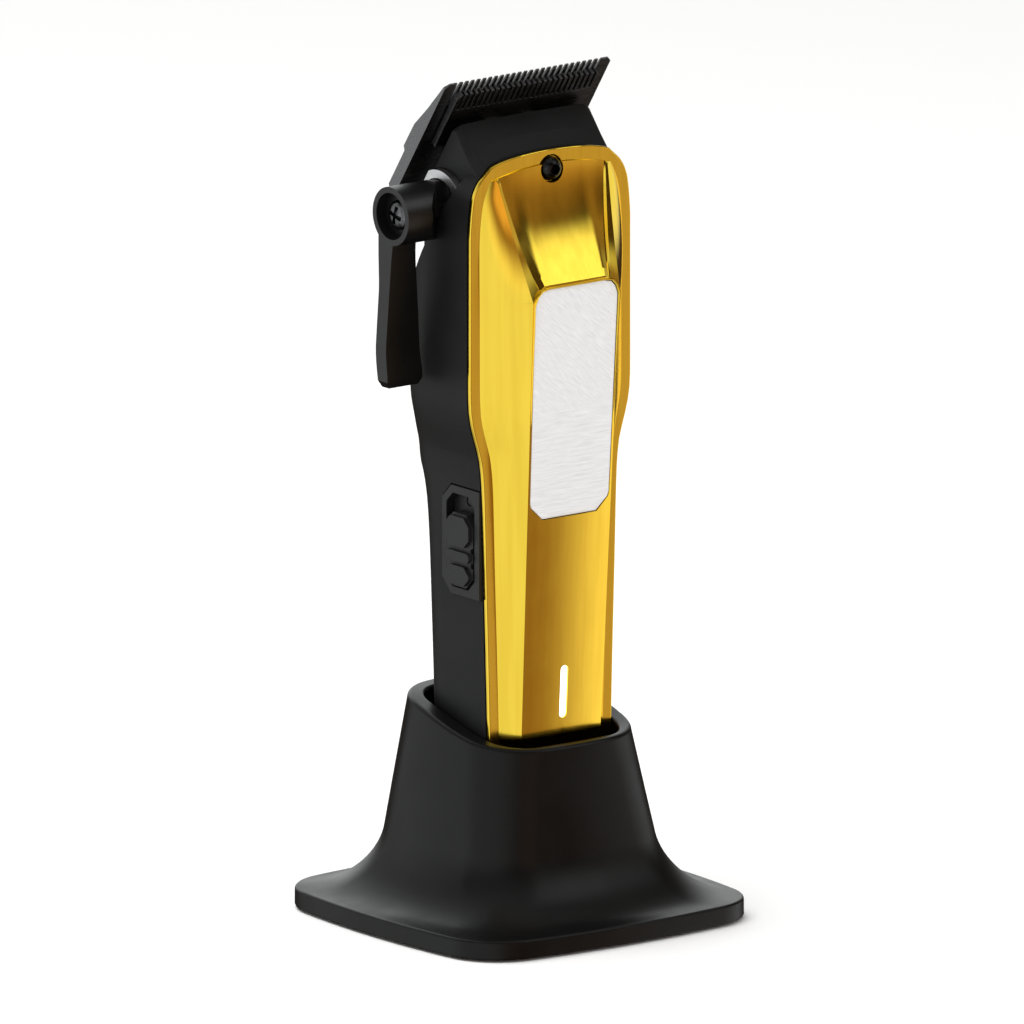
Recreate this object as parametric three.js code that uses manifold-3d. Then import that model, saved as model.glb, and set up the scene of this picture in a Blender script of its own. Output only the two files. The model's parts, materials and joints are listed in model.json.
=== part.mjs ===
// Cordless hair clipper standing in its charging stand.
// Millimetres, +Z up, front of the clipper towards -Y, origin under the middle of the stand.
import * as THREE from 'three';
import { mergeVertices } from 'three/addons/utils/BufferGeometryUtils.js';
import Module from 'manifold-3d';

const wasm = await Module();
wasm.setup();

// ---- driving dimensions ----------------------------------------------------------------

const GAP = 0.3;                      // clearance left between pieces that touch
const FULL = 2 * Math.PI;

// stand
const FOOT_HALF = 42.67;              // half side of the square foot
const FOOT_BOW = 1.53;                // how far each side of the foot bulges
const FOOT_RADIUS = 14.9;             // corner radius of the foot
const FOOT_BOTTOM = 0.5;
const FOOT_TOP = 5;
const NECK_TOP = 20;                  // where the flare ends and the tapered cup begins
const NECK_HALF = 27.3;
const RIM_HALF = 23.2;
const RIM_LOW = 44;                   // rim height at the front
const RIM_RISE = 8;                   // how much higher the rim is at the back
const CUP_HALF = 18.4;                // half width of the cup's inside
const CUP_RADIUS = 8.8;
const CUP_FLOOR = 17.7;
const CUP_REACH = 1.11;                // how much deeper the cup is in front of its middle
const SHELL_WALL = 2.4;
const BOSS_PLACES = [[-23, -23], [23, -23], [23, 23], [-23, 23]];
const BOSS_TOP = 10.8;
const PIN_X = 4;
const PIN_Y = 2;

// clipper body
const BODY_BOTTOM = 18;
const SEAM_Y = -10.7;                 // plane where the front cover meets the rear housing
const WALL = 2.2;
const COVER_TOP = 182.3;
const FLANGE = 2.3;                   // width of the flat band round the front cover
const FLANGE_DEPTH = 1.1;
const FACET_BOTTOM = 45.4;            // lower end of the raised front
const FACET_TOP = 152;                // where the scoop begins
const SCOOP_TOP = 177.4;
const FACET_Y = -16.12;               // front face at FACET_Z
const FACET_Z = 48.3;
const FACET_LEAN = 0.0572;            // how much the front face comes forward per mm of height

// blade set: local frame with s down the blade and t towards the skin side
const BLADE_LEAN = THREE.MathUtils.degToRad(34);
const BLADE_TIP = new THREE.Vector3(0, -4.66, 199.16);
const NOSE_T = -3;                    // back of the nose, seen along t
const SHOULDER_T = -13.5;             // slanted top edge of the wide part of the housing
const FIXED_HALF = 23.87;
const FIXED_TEETH = 24;
const FIXED_PITCH = 1.687;
const CUTTER_HALF = 20.5;
const CUTTER_TEETH = 27;
const CUTTER_PITCH = 1.51;
const MATING_T = 0.65;                // plane where the two blades meet
const CUTTER_FRONT = -1.2;
const SCREW_X = 9;
const SCREW_S = 31;

// taper lever
const LEVER_Y = 2.7;
const LEVER_Z = 168.6;
const LEVER_FACE = -35;
const HUB_RADIUS = 6.9;
const RECESS_RADIUS = 9.3;
const RECESS_FLOOR = -17.9;

// drive
const MOTOR_Y = 2.6;
const MOTOR_RADIUS = 11.5;
const THROW = 0.9;                    // eccentric throw

// ---- solids ------------------------------------------------------------------------------

function toSolid(geometry) {
  const bare = geometry.clone();
  for (const name of Object.keys(bare.attributes)) {
    if (name !== 'position') bare.deleteAttribute(name);
  }
  const merged = mergeVertices(bare, 1e-4);
  return new wasm.Manifold(new wasm.Mesh({
    numProp: 3,
    vertProperties: new Float32Array(merged.attributes.position.array),
    triVerts: new Uint32Array(merged.index.array),
  }));
}

function toGeometry(solid) {
  const mesh = solid.getMesh();
  const geometry = new THREE.BufferGeometry();
  geometry.setAttribute('position', new THREE.BufferAttribute(mesh.vertProperties, 3));
  geometry.setIndex(new THREE.BufferAttribute(mesh.triVerts, 1));
  geometry.computeVertexNormals();
  return geometry;
}

const join = (...solids) => solids.reduce((sum, next) => sum.add(next));
const cut = (solid, ...tools) => tools.reduce((left, tool) => left.subtract(tool), solid);

function box(x0, x1, y0, y1, z0, z1) {
  const geometry = new THREE.BoxGeometry(x1 - x0, y1 - y0, z1 - z0);
  return toSolid(geometry.translate((x0 + x1) / 2, (y0 + y1) / 2, (z0 + z1) / 2));
}

// Cylinder from one point to another.
function rod(radius, from, to, sides = 24) {
  const start = new THREE.Vector3(...from);
  const along = new THREE.Vector3(...to).sub(start);
  const geometry = new THREE.CylinderGeometry(radius, radius, along.length(), sides);
  const turn = new THREE.Quaternion().setFromUnitVectors(
    new THREE.Vector3(0, 1, 0), along.clone().normalize());
  geometry.applyQuaternion(turn);
  return toSolid(geometry.translate(...start.addScaledVector(along, 0.5).toArray()));
}

// Ring seen along the axis in which it is flattest.
function flatten(ring) {
  const spread = [0, 1, 2].map((axis) => {
    const values = ring.map((point) => point[axis]);
    return Math.max(...values) - Math.min(...values);
  });
  const [u, v] = [0, 1, 2].filter((axis) => axis !== spread.indexOf(Math.min(...spread)));
  return ring.map((point) => new THREE.Vector2(point[u], point[v]));
}

// Closed skin over a row of rings that all have the same number of points.
function loft(rings) {
  const count = rings[0].length;
  const faces = [];
  for (let row = 0; row < rings.length - 1; row++) {
    for (let i = 0; i < count; i++) {
      const a = row * count + i;
      const b = row * count + (i + 1) % count;
      faces.push([a, b, b + count], [a, b + count, a + count]);
    }
  }
  const cap = (row, inRingOrder) => {
    const flat = flatten(rings[row]);
    const keep = THREE.ShapeUtils.isClockWise(flat) !== inRingOrder;
    for (const [a, b, c] of THREE.ShapeUtils.triangulateShape(flat, [])) {
      faces.push((keep ? [a, b, c] : [a, c, b]).map((i) => row * count + i));
    }
  };
  cap(0, false);
  cap(rings.length - 1, true);
  const points = rings.flat().map((point) => new THREE.Vector3(...point));
  const volume = faces.reduce(
    (sum, [a, b, c]) => sum + points[a].dot(points[b].clone().cross(points[c])), 0);
  const outward = volume > 0 ? faces : faces.map(([a, b, c]) => [a, c, b]);
  const geometry = new THREE.BufferGeometry().setFromPoints(points);
  geometry.setIndex(outward.flat());
  return toSolid(geometry);
}

// Outline pushed out along +Z, then laid into a frame whose axes are given.
function prism(outline, depth, basis = new THREE.Matrix4(), segments = 6) {
  const shape = outline instanceof THREE.Shape ? outline
    : new THREE.Shape(outline.map(([x, y]) => new THREE.Vector2(x, y)));
  const settings = { depth, bevelEnabled: false, curveSegments: segments };
  const geometry = new THREE.ExtrudeGeometry(shape, settings);
  return toSolid(geometry.applyMatrix4(basis));
}

// Matrix with the given axes and origin.
function frame(xAxis, yAxis, origin = [0, 0, 0]) {
  const x = new THREE.Vector3(...xAxis);
  const y = new THREE.Vector3(...yAxis);
  const basis = new THREE.Matrix4().makeBasis(x, y, x.clone().cross(y));
  return basis.setPosition(...origin);
}

function roundedBox(halfX, halfY, radius) {
  const shape = new THREE.Shape();
  shape.absarc(halfX - radius, halfY - radius, radius, 0, Math.PI / 2);
  shape.absarc(radius - halfX, halfY - radius, radius, Math.PI / 2, Math.PI);
  shape.absarc(radius - halfX, radius - halfY, radius, Math.PI, 1.5 * Math.PI);
  shape.absarc(halfX - radius, radius - halfY, radius, 1.5 * Math.PI, FULL);
  return shape;
}

// ---- materials and the scene graph ---------------------------------------------------------

const finish = (color, roughness, metalness) =>
  new THREE.MeshStandardMaterial({ color, roughness, metalness });

const MATERIALS = {
  softBlack: finish(0x1c1c1d, 0.62, 0),
  gold: finish(0xd9a92c, 0.18, 1),
  panel: finish(0xe6e6e6, 0.35, 0.4),
  light: finish(0xffffff, 0.3, 0),
  blackBlade: finish(0x0c0c0d, 0.3, 0.8),
  steel: finish(0xb9babc, 0.35, 1),
  brass: finish(0xc9a24a, 0.3, 1),
  rubber: finish(0x111111, 0.9, 0),
  board: finish(0x14532d, 0.5, 0),
  cell: finish(0x2d5f9a, 0.45, 0),
  white: finish(0xd8d8d2, 0.5, 0),
};

const clipperAndStand = new THREE.Group();
const stand = new THREE.Group();
const clipper = new THREE.Group();
clipperAndStand.add(stand, clipper);

function add(group, name, solid, material) {
  const mesh = new THREE.Mesh(toGeometry(solid), MATERIALS[material]);
  mesh.name = name;
  group.add(mesh);
}

// ---- stand -----------------------------------------------------------------------------

// Square ring with bowed sides and round corners; heightAt may vary round the ring.
function squareRing(half, bow, radius, heightAt) {
  const middle = half - radius;
  const corner = middle - bow;
  const sweep = (corner * corner + bow * bow) / (2 * bow);
  const swing = Math.asin(corner / sweep);
  const arcs = [];
  const addArc = (x, y, r, from, to, steps) => {
    for (let i = 0; i < steps; i++) {
      const angle = from + (to - from) * i / steps;
      arcs.push([x + r * Math.cos(angle), y + r * Math.sin(angle)]);
    }
  };
  addArc(middle - sweep, 0, sweep + radius, -swing, swing, 4);
  addArc(corner, corner, radius, swing, Math.PI / 2 - swing, 6);
  const ring = [];
  for (let side = 0; side < 4; side++) {
    const [c, s] = [Math.cos(side * Math.PI / 2), Math.sin(side * Math.PI / 2)];
    for (const [x, y] of arcs) ring.push([x * c - y * s, x * s + y * c]);
  }
  return ring.map(([x, y]) => [x, y, heightAt(y)]);
}

const level = (z) => () => z;

const slab = (half, bow, radius, z0, z1) =>
  loft([z0, z1].map((z) => squareRing(half, bow, radius, level(z))));

function rimHeight(y) {
  const t = THREE.MathUtils.smoothstep(y, -RIM_HALF, RIM_HALF);
  return RIM_LOW + RIM_RISE * t;
}

// Outer ring of the flare, from the foot (0) to the neck (1).
function flareRing(t, inset) {
  const z = THREE.MathUtils.lerp(FOOT_TOP, NECK_TOP, t);
  const reach = 1 - Math.sqrt(1 - (1 - t) ** 2);
  const half = THREE.MathUtils.lerp(NECK_HALF + 1.8 * (1 - t), FOOT_HALF - 1, reach) - inset;
  const bow = THREE.MathUtils.lerp(0.8, FOOT_BOW, reach);
  return squareRing(half, bow, THREE.MathUtils.lerp(15, FOOT_RADIUS, reach) - inset, level(z));
}

// Outer ring of the cup, from the neck (0) to the rim (1).
function cupRing(t) {
  const half = THREE.MathUtils.lerp(NECK_HALF, RIM_HALF, t);
  const height = (y) => THREE.MathUtils.lerp(NECK_TOP, rimHeight(y) - 0.6, t);
  return squareRing(half, 0.8 - 0.3 * t, 15, height);
}

// Ring of the cup's inside, which reaches further forwards than back.
function pocketRing(grow, heightAt) {
  const ring = squareRing(CUP_HALF + grow, 0.3, CUP_RADIUS + grow, level(0));
  const reached = ring.map(([x, y]) => [x, y < 0 ? y * CUP_REACH : y]);
  return reached.map(([x, y]) => [x, y, heightAt(y)]);
}

function standShell() {
  const flare = [0.02, 0.12, 0.25, 0.4, 0.58, 0.78];
  const outside = [
    squareRing(FOOT_HALF, FOOT_BOW, FOOT_RADIUS, level(FOOT_BOTTOM)),
    squareRing(FOOT_HALF, FOOT_BOW, FOOT_RADIUS, level(FOOT_TOP - 0.7)),
    squareRing(FOOT_HALF - 0.7, FOOT_BOW, FOOT_RADIUS - 0.7, level(FOOT_TOP)),
    ...flare.map((t) => flareRing(t, 0)),
    ...[0, 0.5, 1].map((t) => cupRing(t)),
    squareRing(RIM_HALF - 1, 0.5, 14, rimHeight),
  ];
  const inside = [
    pocketRing(0.5, rimHeight),
    pocketRing(0, (y) => rimHeight(y) - 0.6),
    pocketRing(0, level(CUP_FLOOR)),
  ];
  const belly = [
    squareRing(40.2, FOOT_BOW, 13, level(0)),
    squareRing(40.2, FOOT_BOW, 13, level(3.2)),
    squareRing(36, FOOT_BOW, 13, level(3.21)),
    ...flare.slice(1).map((t) => flareRing(t, SHELL_WALL + 1.2 * (1 - t))),
  ].filter((ring, row) => row < 3 || ring[0][2] < CUP_FLOOR - 3);
  const bosses = BOSS_PLACES.map(([x, y]) => rod(3, [x, y, 2.9], [x, y, BOSS_TOP], 16));
  const body = join(cut(loft([...outside, ...inside]), loft(belly)), ...bosses,
    box(-9.5, 9.5, 22, 31.5, 4, 13.2));
  return cut(body,
    box(-7.5, 7.5, 30.5, 50, 5.6, 12.4),
    box(-4.8, 4.8, 20, 31, 7.1, 10.9),
    ...[-PIN_X, PIN_X].map((x) => rod(1.4, [x, PIN_Y, 10], [x, PIN_Y, 20], 16)),
    ...BOSS_PLACES.map(([x, y]) => rod(1.3, [x, y, 0], [x, y, BOSS_TOP - 1.2], 12)));
}

function buildStand() {
  add(stand, 'stand_shell', standShell(), 'softBlack');
  const plate = slab(39.8, FOOT_BOW, 12.6, 1.1, 2.7);
  add(stand, 'stand_base_plate', cut(plate,
    ...BOSS_PLACES.flatMap(([x, y]) => [
      rod(1.5, [x, y, 0], [x, y, 4], 12), rod(2.7, [x, y, 0], [x, y, 2], 16)])), 'softBlack');
  add(stand, 'rubber_sole', slab(38, FOOT_BOW, 11, 0, 0.8), 'rubber');
  BOSS_PLACES.forEach(([x, y], i) => {
    const screw = join(rod(2.4, [x, y, 1.1], [x, y, 1.9], 16), rod(1, [x, y, 1.8], [x, y, 9], 12));
    add(stand, `stand_screw_${i + 1}`, screw, 'steel');
  });
  add(stand, 'stand_weight', prism(roundedBox(19, 19, 5), 3.6,
    frame([1, 0, 0], [0, 1, 0], [0, 0, 3])), 'steel');
  add(stand, 'stand_board', box(-9, 9, -6, 21.5, 8, 9.2), 'board');
  const holder = cut(box(-8, 8, -2.5, 6.5, 9.5, 13.3),
    ...[-PIN_X, PIN_X].map((x) => rod(1.4, [x, PIN_Y, 9], [x, PIN_Y, 15], 16)));
  add(stand, 'charge_pin_holder', holder, 'white');
  for (const [side, x] of [['left', -PIN_X], ['right', PIN_X]]) {
    const pin = rod(1, [x, PIN_Y, 10.8], [x, PIN_Y, 18.4], 16);
    add(stand, `charge_pin_${side}`, pin, 'brass');
  }
  const inletShape = roundedBox(4.47, 1.6, 1.55);
  inletShape.holes.push(new THREE.Path(roundedBox(4.1, 1.2, 1.15).getPoints(5)));
  add(stand, 'charge_inlet',
    prism(inletShape, 7.6, frame([-1, 0, 0], [0, 0, 1], [0, 22.8, 9]), 5), 'steel');
}

// ---- outline of the clipper --------------------------------------------------------------

// Height, half width at the seam, back face and corner radius of the rear housing.
const STATIONS = [
  [18, 16.9, 15.6, 11], [30, 17.25, 16.2, 12], [57, 17.85, 16.4, 12], [85, 18.65, 16.7, 12],
  [97, 18.95, 17.3, 12], [103, 19.15, 18.6, 12.5], [107, 19.4, 20, 13], [111, 19.9, 20.5, 14],
  [115, 21, 20.8, 15], [119, 22.2, 20.9, 16], [123, 22.9, 20.9, 16], [128, 23.1, 20.9, 16],
  [154, 23.1, 20, 16], [190, 23.1, 19.5, 16],
];

function stationAt(z) {
  const upper = Math.max(1, STATIONS.findIndex((station) => station[0] >= z));
  const [low, high] = [STATIONS[upper - 1], STATIONS[upper]];
  const t = (z - low[0]) / (high[0] - low[0]);
  return low.map((value, i) => THREE.MathUtils.lerp(value, high[i], t));
}

// Half width of the front cover, which rounds off towards the top.
const SHOULDER = [[164, 23.1], [168, 22.85], [172.5, 22.3], [174.8, 21.6], [177.2, 20.2],
  [179.6, 17.65], [181.25, 12.2], [COVER_TOP, 0]];

function coverHalf(z) {
  if (z <= SHOULDER[0][0]) return stationAt(z)[1];
  const upper = SHOULDER.findIndex((point) => point[0] >= z);
  const [low, high] = [SHOULDER[upper - 1], SHOULDER[upper]];
  return THREE.MathUtils.mapLinear(z, low[0], high[0], low[1], high[1]);
}

function backRing(half, back, radius, z, front) {
  const ring = [[half, front, z]];
  for (let i = 0; i <= 7; i++) {
    const angle = i / 7 * Math.PI / 2;
    ring.push([half - radius + radius * Math.cos(angle), back - radius + radius * Math.sin(angle), z]);
  }
  return [...ring, ...ring.map(([x, y]) => [-x, y, z]).reverse()];
}

function housingLoft(inset, bottom, front) {
  const rings = STATIONS.map(([z, half, back, radius]) =>
    backRing(half - inset, back - inset, radius - inset, Math.max(z, bottom), front));
  return loft(rings.filter((ring, row) => row === 0 || STATIONS[row][0] > bottom));
}

// ---- blade frame ---------------------------------------------------------------------------

const DOWN_BLADE = [0, Math.sin(BLADE_LEAN), -Math.cos(BLADE_LEAN)];
const SKIN_SIDE = [0, Math.cos(BLADE_LEAN), Math.sin(BLADE_LEAN)];

function bladePoint(x, s, t) {
  return new THREE.Vector3(x, 0, 0).add(BLADE_TIP)
    .addScaledVector(new THREE.Vector3(...DOWN_BLADE), s)
    .addScaledVector(new THREE.Vector3(...SKIN_SIDE), t).toArray();
}

// Profile in (s, t) carried across the width from x0 to x1.
function acrossBlade(profile, x0, x1) {
  return prism(profile, x1 - x0, frame(DOWN_BLADE, SKIN_SIDE, bladePoint(x0, 0, 0)));
}

const bladeBox = (x0, x1, s0, s1, t0, t1) =>
  acrossBlade([[s0, t0], [s1, t0], [s1, t1], [s0, t1]], x0, x1);
const bladeRod = (radius, x, s, t0, t1, sides = 20) =>
  rod(radius, bladePoint(x, s, t0), bladePoint(x, s, t1), sides);

// ---- rear housing --------------------------------------------------------------------------

// The narrow head that carries the blades, with the nose in front.
function headLoft(inset, front) {
  const half = 19.4 - inset;
  const low = 140;
  const outlineAt = (y, corner, shoulder, brow, top) => [
    [half, y, low], [half, y, corner - inset], [Math.min(shoulder, half), y, brow - inset],
    [12.2, y, top - 0.1 - inset], [-12.2, y, top - 0.1 - inset],
    [-Math.min(shoulder, half), y, brow - inset], [-half, y, corner - inset], [-half, y, low]];
  return loft([
    outlineAt(front, 177.8, 17.65, 179.6, COVER_TOP - 0.9),
    outlineAt(-6.57, 181.8, 18, 183.8, 184.8),
    outlineAt(-1.22, 188, 19.1, 188.7, 188.8),
    outlineAt(17.8 - inset, 192, 19.1, 193, 194),
  ]);
}

function rearHousing() {
  const aboveShoulder = bladeBox(-40, 40, -60, 90, SHOULDER_T, 60);
  const aboveNose = bladeBox(-40, 40, -60, 90, NOSE_T, 60);
  const innerShoulder = bladeBox(-40, 40, -60, 90, SHOULDER_T - WALL, 60);
  const innerNose = bladeBox(-40, 40, -60, 90, NOSE_T - WALL, 60);
  const column = loft([130, 210].map((z) => backRing(19.4, 17.8, 13, z, -40)));
  const hollowColumn = loft([130, 210].map((z) => backRing(17.2, 15.6, 11, z, -40)));
  const front = SEAM_Y + GAP / 2;
  const outline = coverOutline(0).map(([x, z]) => [x, z < 21 ? BODY_BOTTOM - 1 : z]);
  const wide = cut(housingLoft(0, BODY_BOTTOM, front), aboveShoulder)
    .intersect(prism(outline, 60, frame([1, 0, 0], [0, 0, 1], [0, 30, 0])));
  const recess = rod(RECESS_RADIUS, [-30, LEVER_Y, LEVER_Z], [RECESS_FLOOR, LEVER_Y, LEVER_Z], 36)
    .intersect(aboveShoulder);
  const head = cut(headLoft(0, front).intersect(column), aboveNose);
  const hollow = cut(housingLoft(WALL, BODY_BOTTOM - 5, -30), innerShoulder,
    box(-30, -17, -40, 14, 153, 195));
  const headHollow = cut(headLoft(WALL, front - 2).intersect(hollowColumn), innerNose);
  return cut(join(wide, head), hollow, headHollow,
    recess, rod(2.9, [-30, LEVER_Y, LEVER_Z], [-10, LEVER_Y, LEVER_Z], 20),
    bladeBox(-9.5, 9.5, 13.5, 26, -7, 0), ...screwSlots(),
    switchOpening(GAP, -25, -14),
    ...[REAR_SCREW_LOW, REAR_SCREW_HIGH].map((z) => rod(2.7, [0, 8, z], [0, 30, z], 20)));
}

// ---- switch --------------------------------------------------------------------------------

const SWITCH_TOP = 103.6;
const SWITCH_BOTTOM = 78;
const SLOT_TOP = 101.8;
const SLOT_BOTTOM = 79.7;
const SLOT_FRONT = -8.7;
const SLOT_BACK = 2;
const SWITCH_FRONT = SEAM_Y + 0.2;
const SWITCH_BACK = 3.6;
const SLIDER_BOTTOM = 80.1;
const SLIDER_TOP = 97.4;
const REAR_SCREW_LOW = 29;
const REAR_SCREW_HIGH = 111;

// Upright outline in the side's plane, pushed along X from x0 to x1.
const onSide = (outline, x0, x1) =>
  prism(outline, x1 - x0, frame([0, 1, 0], [0, 0, 1], [x0, 0, 0]));

function switchOpening(grow, x0, x1) {
  const chamfer = 3.4;
  const [y0, y1] = [SWITCH_FRONT - grow, SWITCH_BACK + grow];
  const [z0, z1] = [SWITCH_BOTTOM - grow, SWITCH_TOP + grow];
  return onSide([[y0, z0], [y1 - chamfer, z0], [y1, z0 + chamfer], [y1, z1 - chamfer],
    [y1 - chamfer, z1], [y0, z1]], x0, x1);
}

// Upright box on the side with its four corners cut off.
function chamferedBox(x0, x1, y0, y1, z0, z1, chamfer) {
  return onSide([[y0 + chamfer, z0], [y1 - chamfer, z0], [y1, z0 + chamfer], [y1, z1 - chamfer],
    [y1 - chamfer, z1], [y0 + chamfer, z1], [y0, z1 - chamfer], [y0, z0 + chamfer]], x0, x1);
}

function slider() {
  const body = (x0, x1, inset) => chamferedBox(x0, x1, SLOT_FRONT + GAP + inset,
    SLOT_BACK - GAP - inset, SLIDER_BOTTOM + inset, SLIDER_TOP - inset, 2.6);
  const grooves = [85.6, 89].map((z) => box(-22, -19.9, -12, 4, z, z + 0.6));
  const pads = cut(join(body(-19.9, -17.2, 0), body(-20.5, -19.8, 0.6)), ...grooves);
  return join(pads, box(-17.6, -15.7, -5, -1.8, 88, 92));
}

// ---- front cover ---------------------------------------------------------------------------

const faceY = (z) => FACET_Y - FACET_LEAN * (z - FACET_Z);
const creaseHalf = (z) => THREE.MathUtils.mapLinear(z, 48, 152, 11.4, 12.5);

// Upright section of the raised front; the scoop sags between its two ridges.
function coverRing(z, inset) {
  const up = THREE.MathUtils.clamp((z - FACET_TOP) / (SCOOP_TOP - FACET_TOP), 0, 1);
  const foot = coverHalf(z) - FLANGE - inset;
  const ridgeX = THREE.MathUtils.lerp(creaseHalf(Math.min(z, FACET_TOP)), 15.9, up) - 0.6 * inset;
  const ridgeY = THREE.MathUtils.lerp(faceY(Math.min(z, FACET_TOP)), -12.1, up) + inset;
  const sag = 2.6 * Math.sin(Math.PI * Math.min(1, up * 1.15)) * (up > 0 ? 1 : 0);
  const ring = [[Math.max(foot, ridgeX + 0.2), SEAM_Y - 0.6, z]];
  for (let i = 0; i <= 8; i++) {
    const across = 1 - i / 4;
    const y = Math.min(ridgeY + sag * (1 - across * across), SEAM_Y - 0.7);
    ring.push([ridgeX * across, y, z]);
  }
  ring.push([-ring[0][0], SEAM_Y - 0.6, z]);
  return ring;
}

function coverOutline(grow) {
  const heights = [20, 57, 85, 97, 103, 107, 111, 115, 119, 123, 128, 154,
    ...SHOULDER.slice(0, -1).map((point) => point[0])];
  const side = heights.map((z) => [coverHalf(z) + grow, z]);
  return [...side, [0, COVER_TOP + grow], ...side.map(([x, z]) => [-x, z]).reverse()];
}

const FACE_UP = new THREE.Vector3(0, -FACET_LEAN, 1).normalize().toArray();

// Outline on the sloping front face, pushed outwards from depth to depth.
function onFace(outline, from, to, segments = 6) {
  const basis = frame([1, 0, 0], FACE_UP, [0, FACET_Y, FACET_Z]);
  const outward = new THREE.Vector3(1, 0, 0).cross(new THREE.Vector3(...FACE_UP));
  const lifted = new THREE.Matrix4().makeTranslation(outward.multiplyScalar(from));
  return prism(outline, to - from, lifted.multiply(basis), segments);
}

const PANEL_BOTTOM = 49.2;            // along the face, from FACET_Z
const PANEL_TOP = 103.8;

function panelOutline(grow) {
  const [low, high] = [11.1 + grow, 11.65 + grow];
  const [z0, z1] = [PANEL_BOTTOM - grow, PANEL_TOP + grow];
  const chamfer = 3.6;
  const half = [[low - chamfer, z0], [low, z0 + chamfer], [high, z1 - chamfer], [high - chamfer, z1]];
  return [...half, ...half.map(([x, z]) => [-x, z]).reverse()];
}

function stadium(half, z0, z1) {
  const shape = new THREE.Shape();
  shape.absarc(0, z1 - half, half, 0, Math.PI);
  shape.absarc(0, z0 + half, half, Math.PI, FULL);
  return shape;
}

const SCREW_Z = 177.8;

function frontCover() {
  const flange = prism(coverOutline(0), FLANGE_DEPTH,
    frame([1, 0, 0], [0, 0, 1], [0, SEAM_Y - GAP / 2, 0]));
  const heights = [FACET_BOTTOM, 57, 85, 97, 103, 107, 111, 115, 119, 123, 128, FACET_TOP,
    155, 160, 164, 168, 172.5, 175, SCOOP_TOP];
  const raised = loft(heights.map((z) => coverRing(z, 0)));
  const hollow = loft(heights.filter((z) => z < SCOOP_TOP - 2).map((z, row) =>
    coverRing(row === 0 ? z + 1.6 : z, z > FACET_TOP ? 1.6 : 2.2).map(([x, y, height], i, ring) =>
      [x, i === 0 || i === ring.length - 1 ? -9 : y, height])));
  return cut(join(flange, raised), hollow,
    onFace(panelOutline(GAP), -1.5, 3),
    onFace(stadium(1.5, 0.4, 13.4), -9, 3),
    rod(3.4, [0, -30, SCREW_Z], [0, SEAM_Y - GAP / 2 - FLANGE_DEPTH, SCREW_Z]),
    rod(1.8, [0, -20, SCREW_Z], [0, 0, SCREW_Z]));
}

// ---- blades ----------------------------------------------------------------------------------

// Comb outline in (x, s): teeth at s0, roots at s1, back edge at s2.
function comb(half, teeth, pitch, s0, s1, s2) {
  const gap = pitch * 0.46;
  const points = [[half, s2], [half, s0 + 1.2], [half - 1.2, s0]];
  for (let i = 0; i <= teeth; i++) {
    const x = (teeth / 2 - i) * pitch;
    points.push([x + gap / 2, s0], [x + gap / 2, s1], [x - gap / 2, s1], [x - gap / 2, s0]);
  }
  return [...points, [1.2 - half, s0], [-half, s0 + 1.2], [-half, s2]];
}

function acrossTeeth(outline, t0, t1) {
  return prism(outline, t1 - t0, frame([1, 0, 0], DOWN_BLADE, bladePoint(0, 0, t0)));
}

function fixedBlade() {
  const profile = [[0.4, MATING_T], [36.3, MATING_T], [36.3, 2.5], [35.5, 3.8], [24.7, 3.8],
    [23.9, 4.7], [16.8, 4.6], [10.1, 2.95], [1.4, 1.3], [0.4, 1.1]];
  const plate = acrossBlade(profile, -FIXED_HALF, FIXED_HALF);
  const teeth = acrossTeeth(comb(FIXED_HALF, FIXED_TEETH, FIXED_PITCH, 0.4, 7.6, 40), 0, 8);
  return cut(plate.intersect(teeth),
    ...[-SCREW_X, SCREW_X].map((x) => bladeRod(1.75, x, SCREW_S, 0, 8)));
}

const cutterBlade = () => acrossTeeth(
  comb(CUTTER_HALF, CUTTER_TEETH - 2, CUTTER_PITCH, 2.7, 7.6, 19.4), CUTTER_FRONT, MATING_T - GAP);

function driveYoke() {
  const block = bladeBox(-6.5, 6.5, 14.4, 21.5, -8.6, CUTTER_FRONT - GAP);
  const slot = bladeBox(-3.2, 3.2, 10, 30, -20, -2.4);
  return cut(block, slot, bladeBox(-9, 9, 10, 15.8, -20, -5));
}

// Slots that let the blade screws travel with the fixed blade.
const screwSlots = () => [-SCREW_X, SCREW_X].map((x) =>
  bladeBox(x - 1.8, x + 1.8, SCREW_S - 4, SCREW_S + 2, -12, 3));

function bladeMount() {
  const block = bladeBox(-15, 15, 23, 36.3, NOSE_T + GAP, MATING_T - GAP);
  return cut(block, ...screwSlots());
}

const bladeScrew = (x) =>
  join(bladeRod(2.6, x, SCREW_S, 4.1, 5.4), bladeRod(1.4, x, SCREW_S, -8, 4.3));

// ---- lever -------------------------------------------------------------------------------------

const HUB_END = RECESS_FLOOR - 1.4;
const HUB_SHOULDER = -23.5;            // just outside the housing's side
const LEVER_BORE_END = -25.3;

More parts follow.
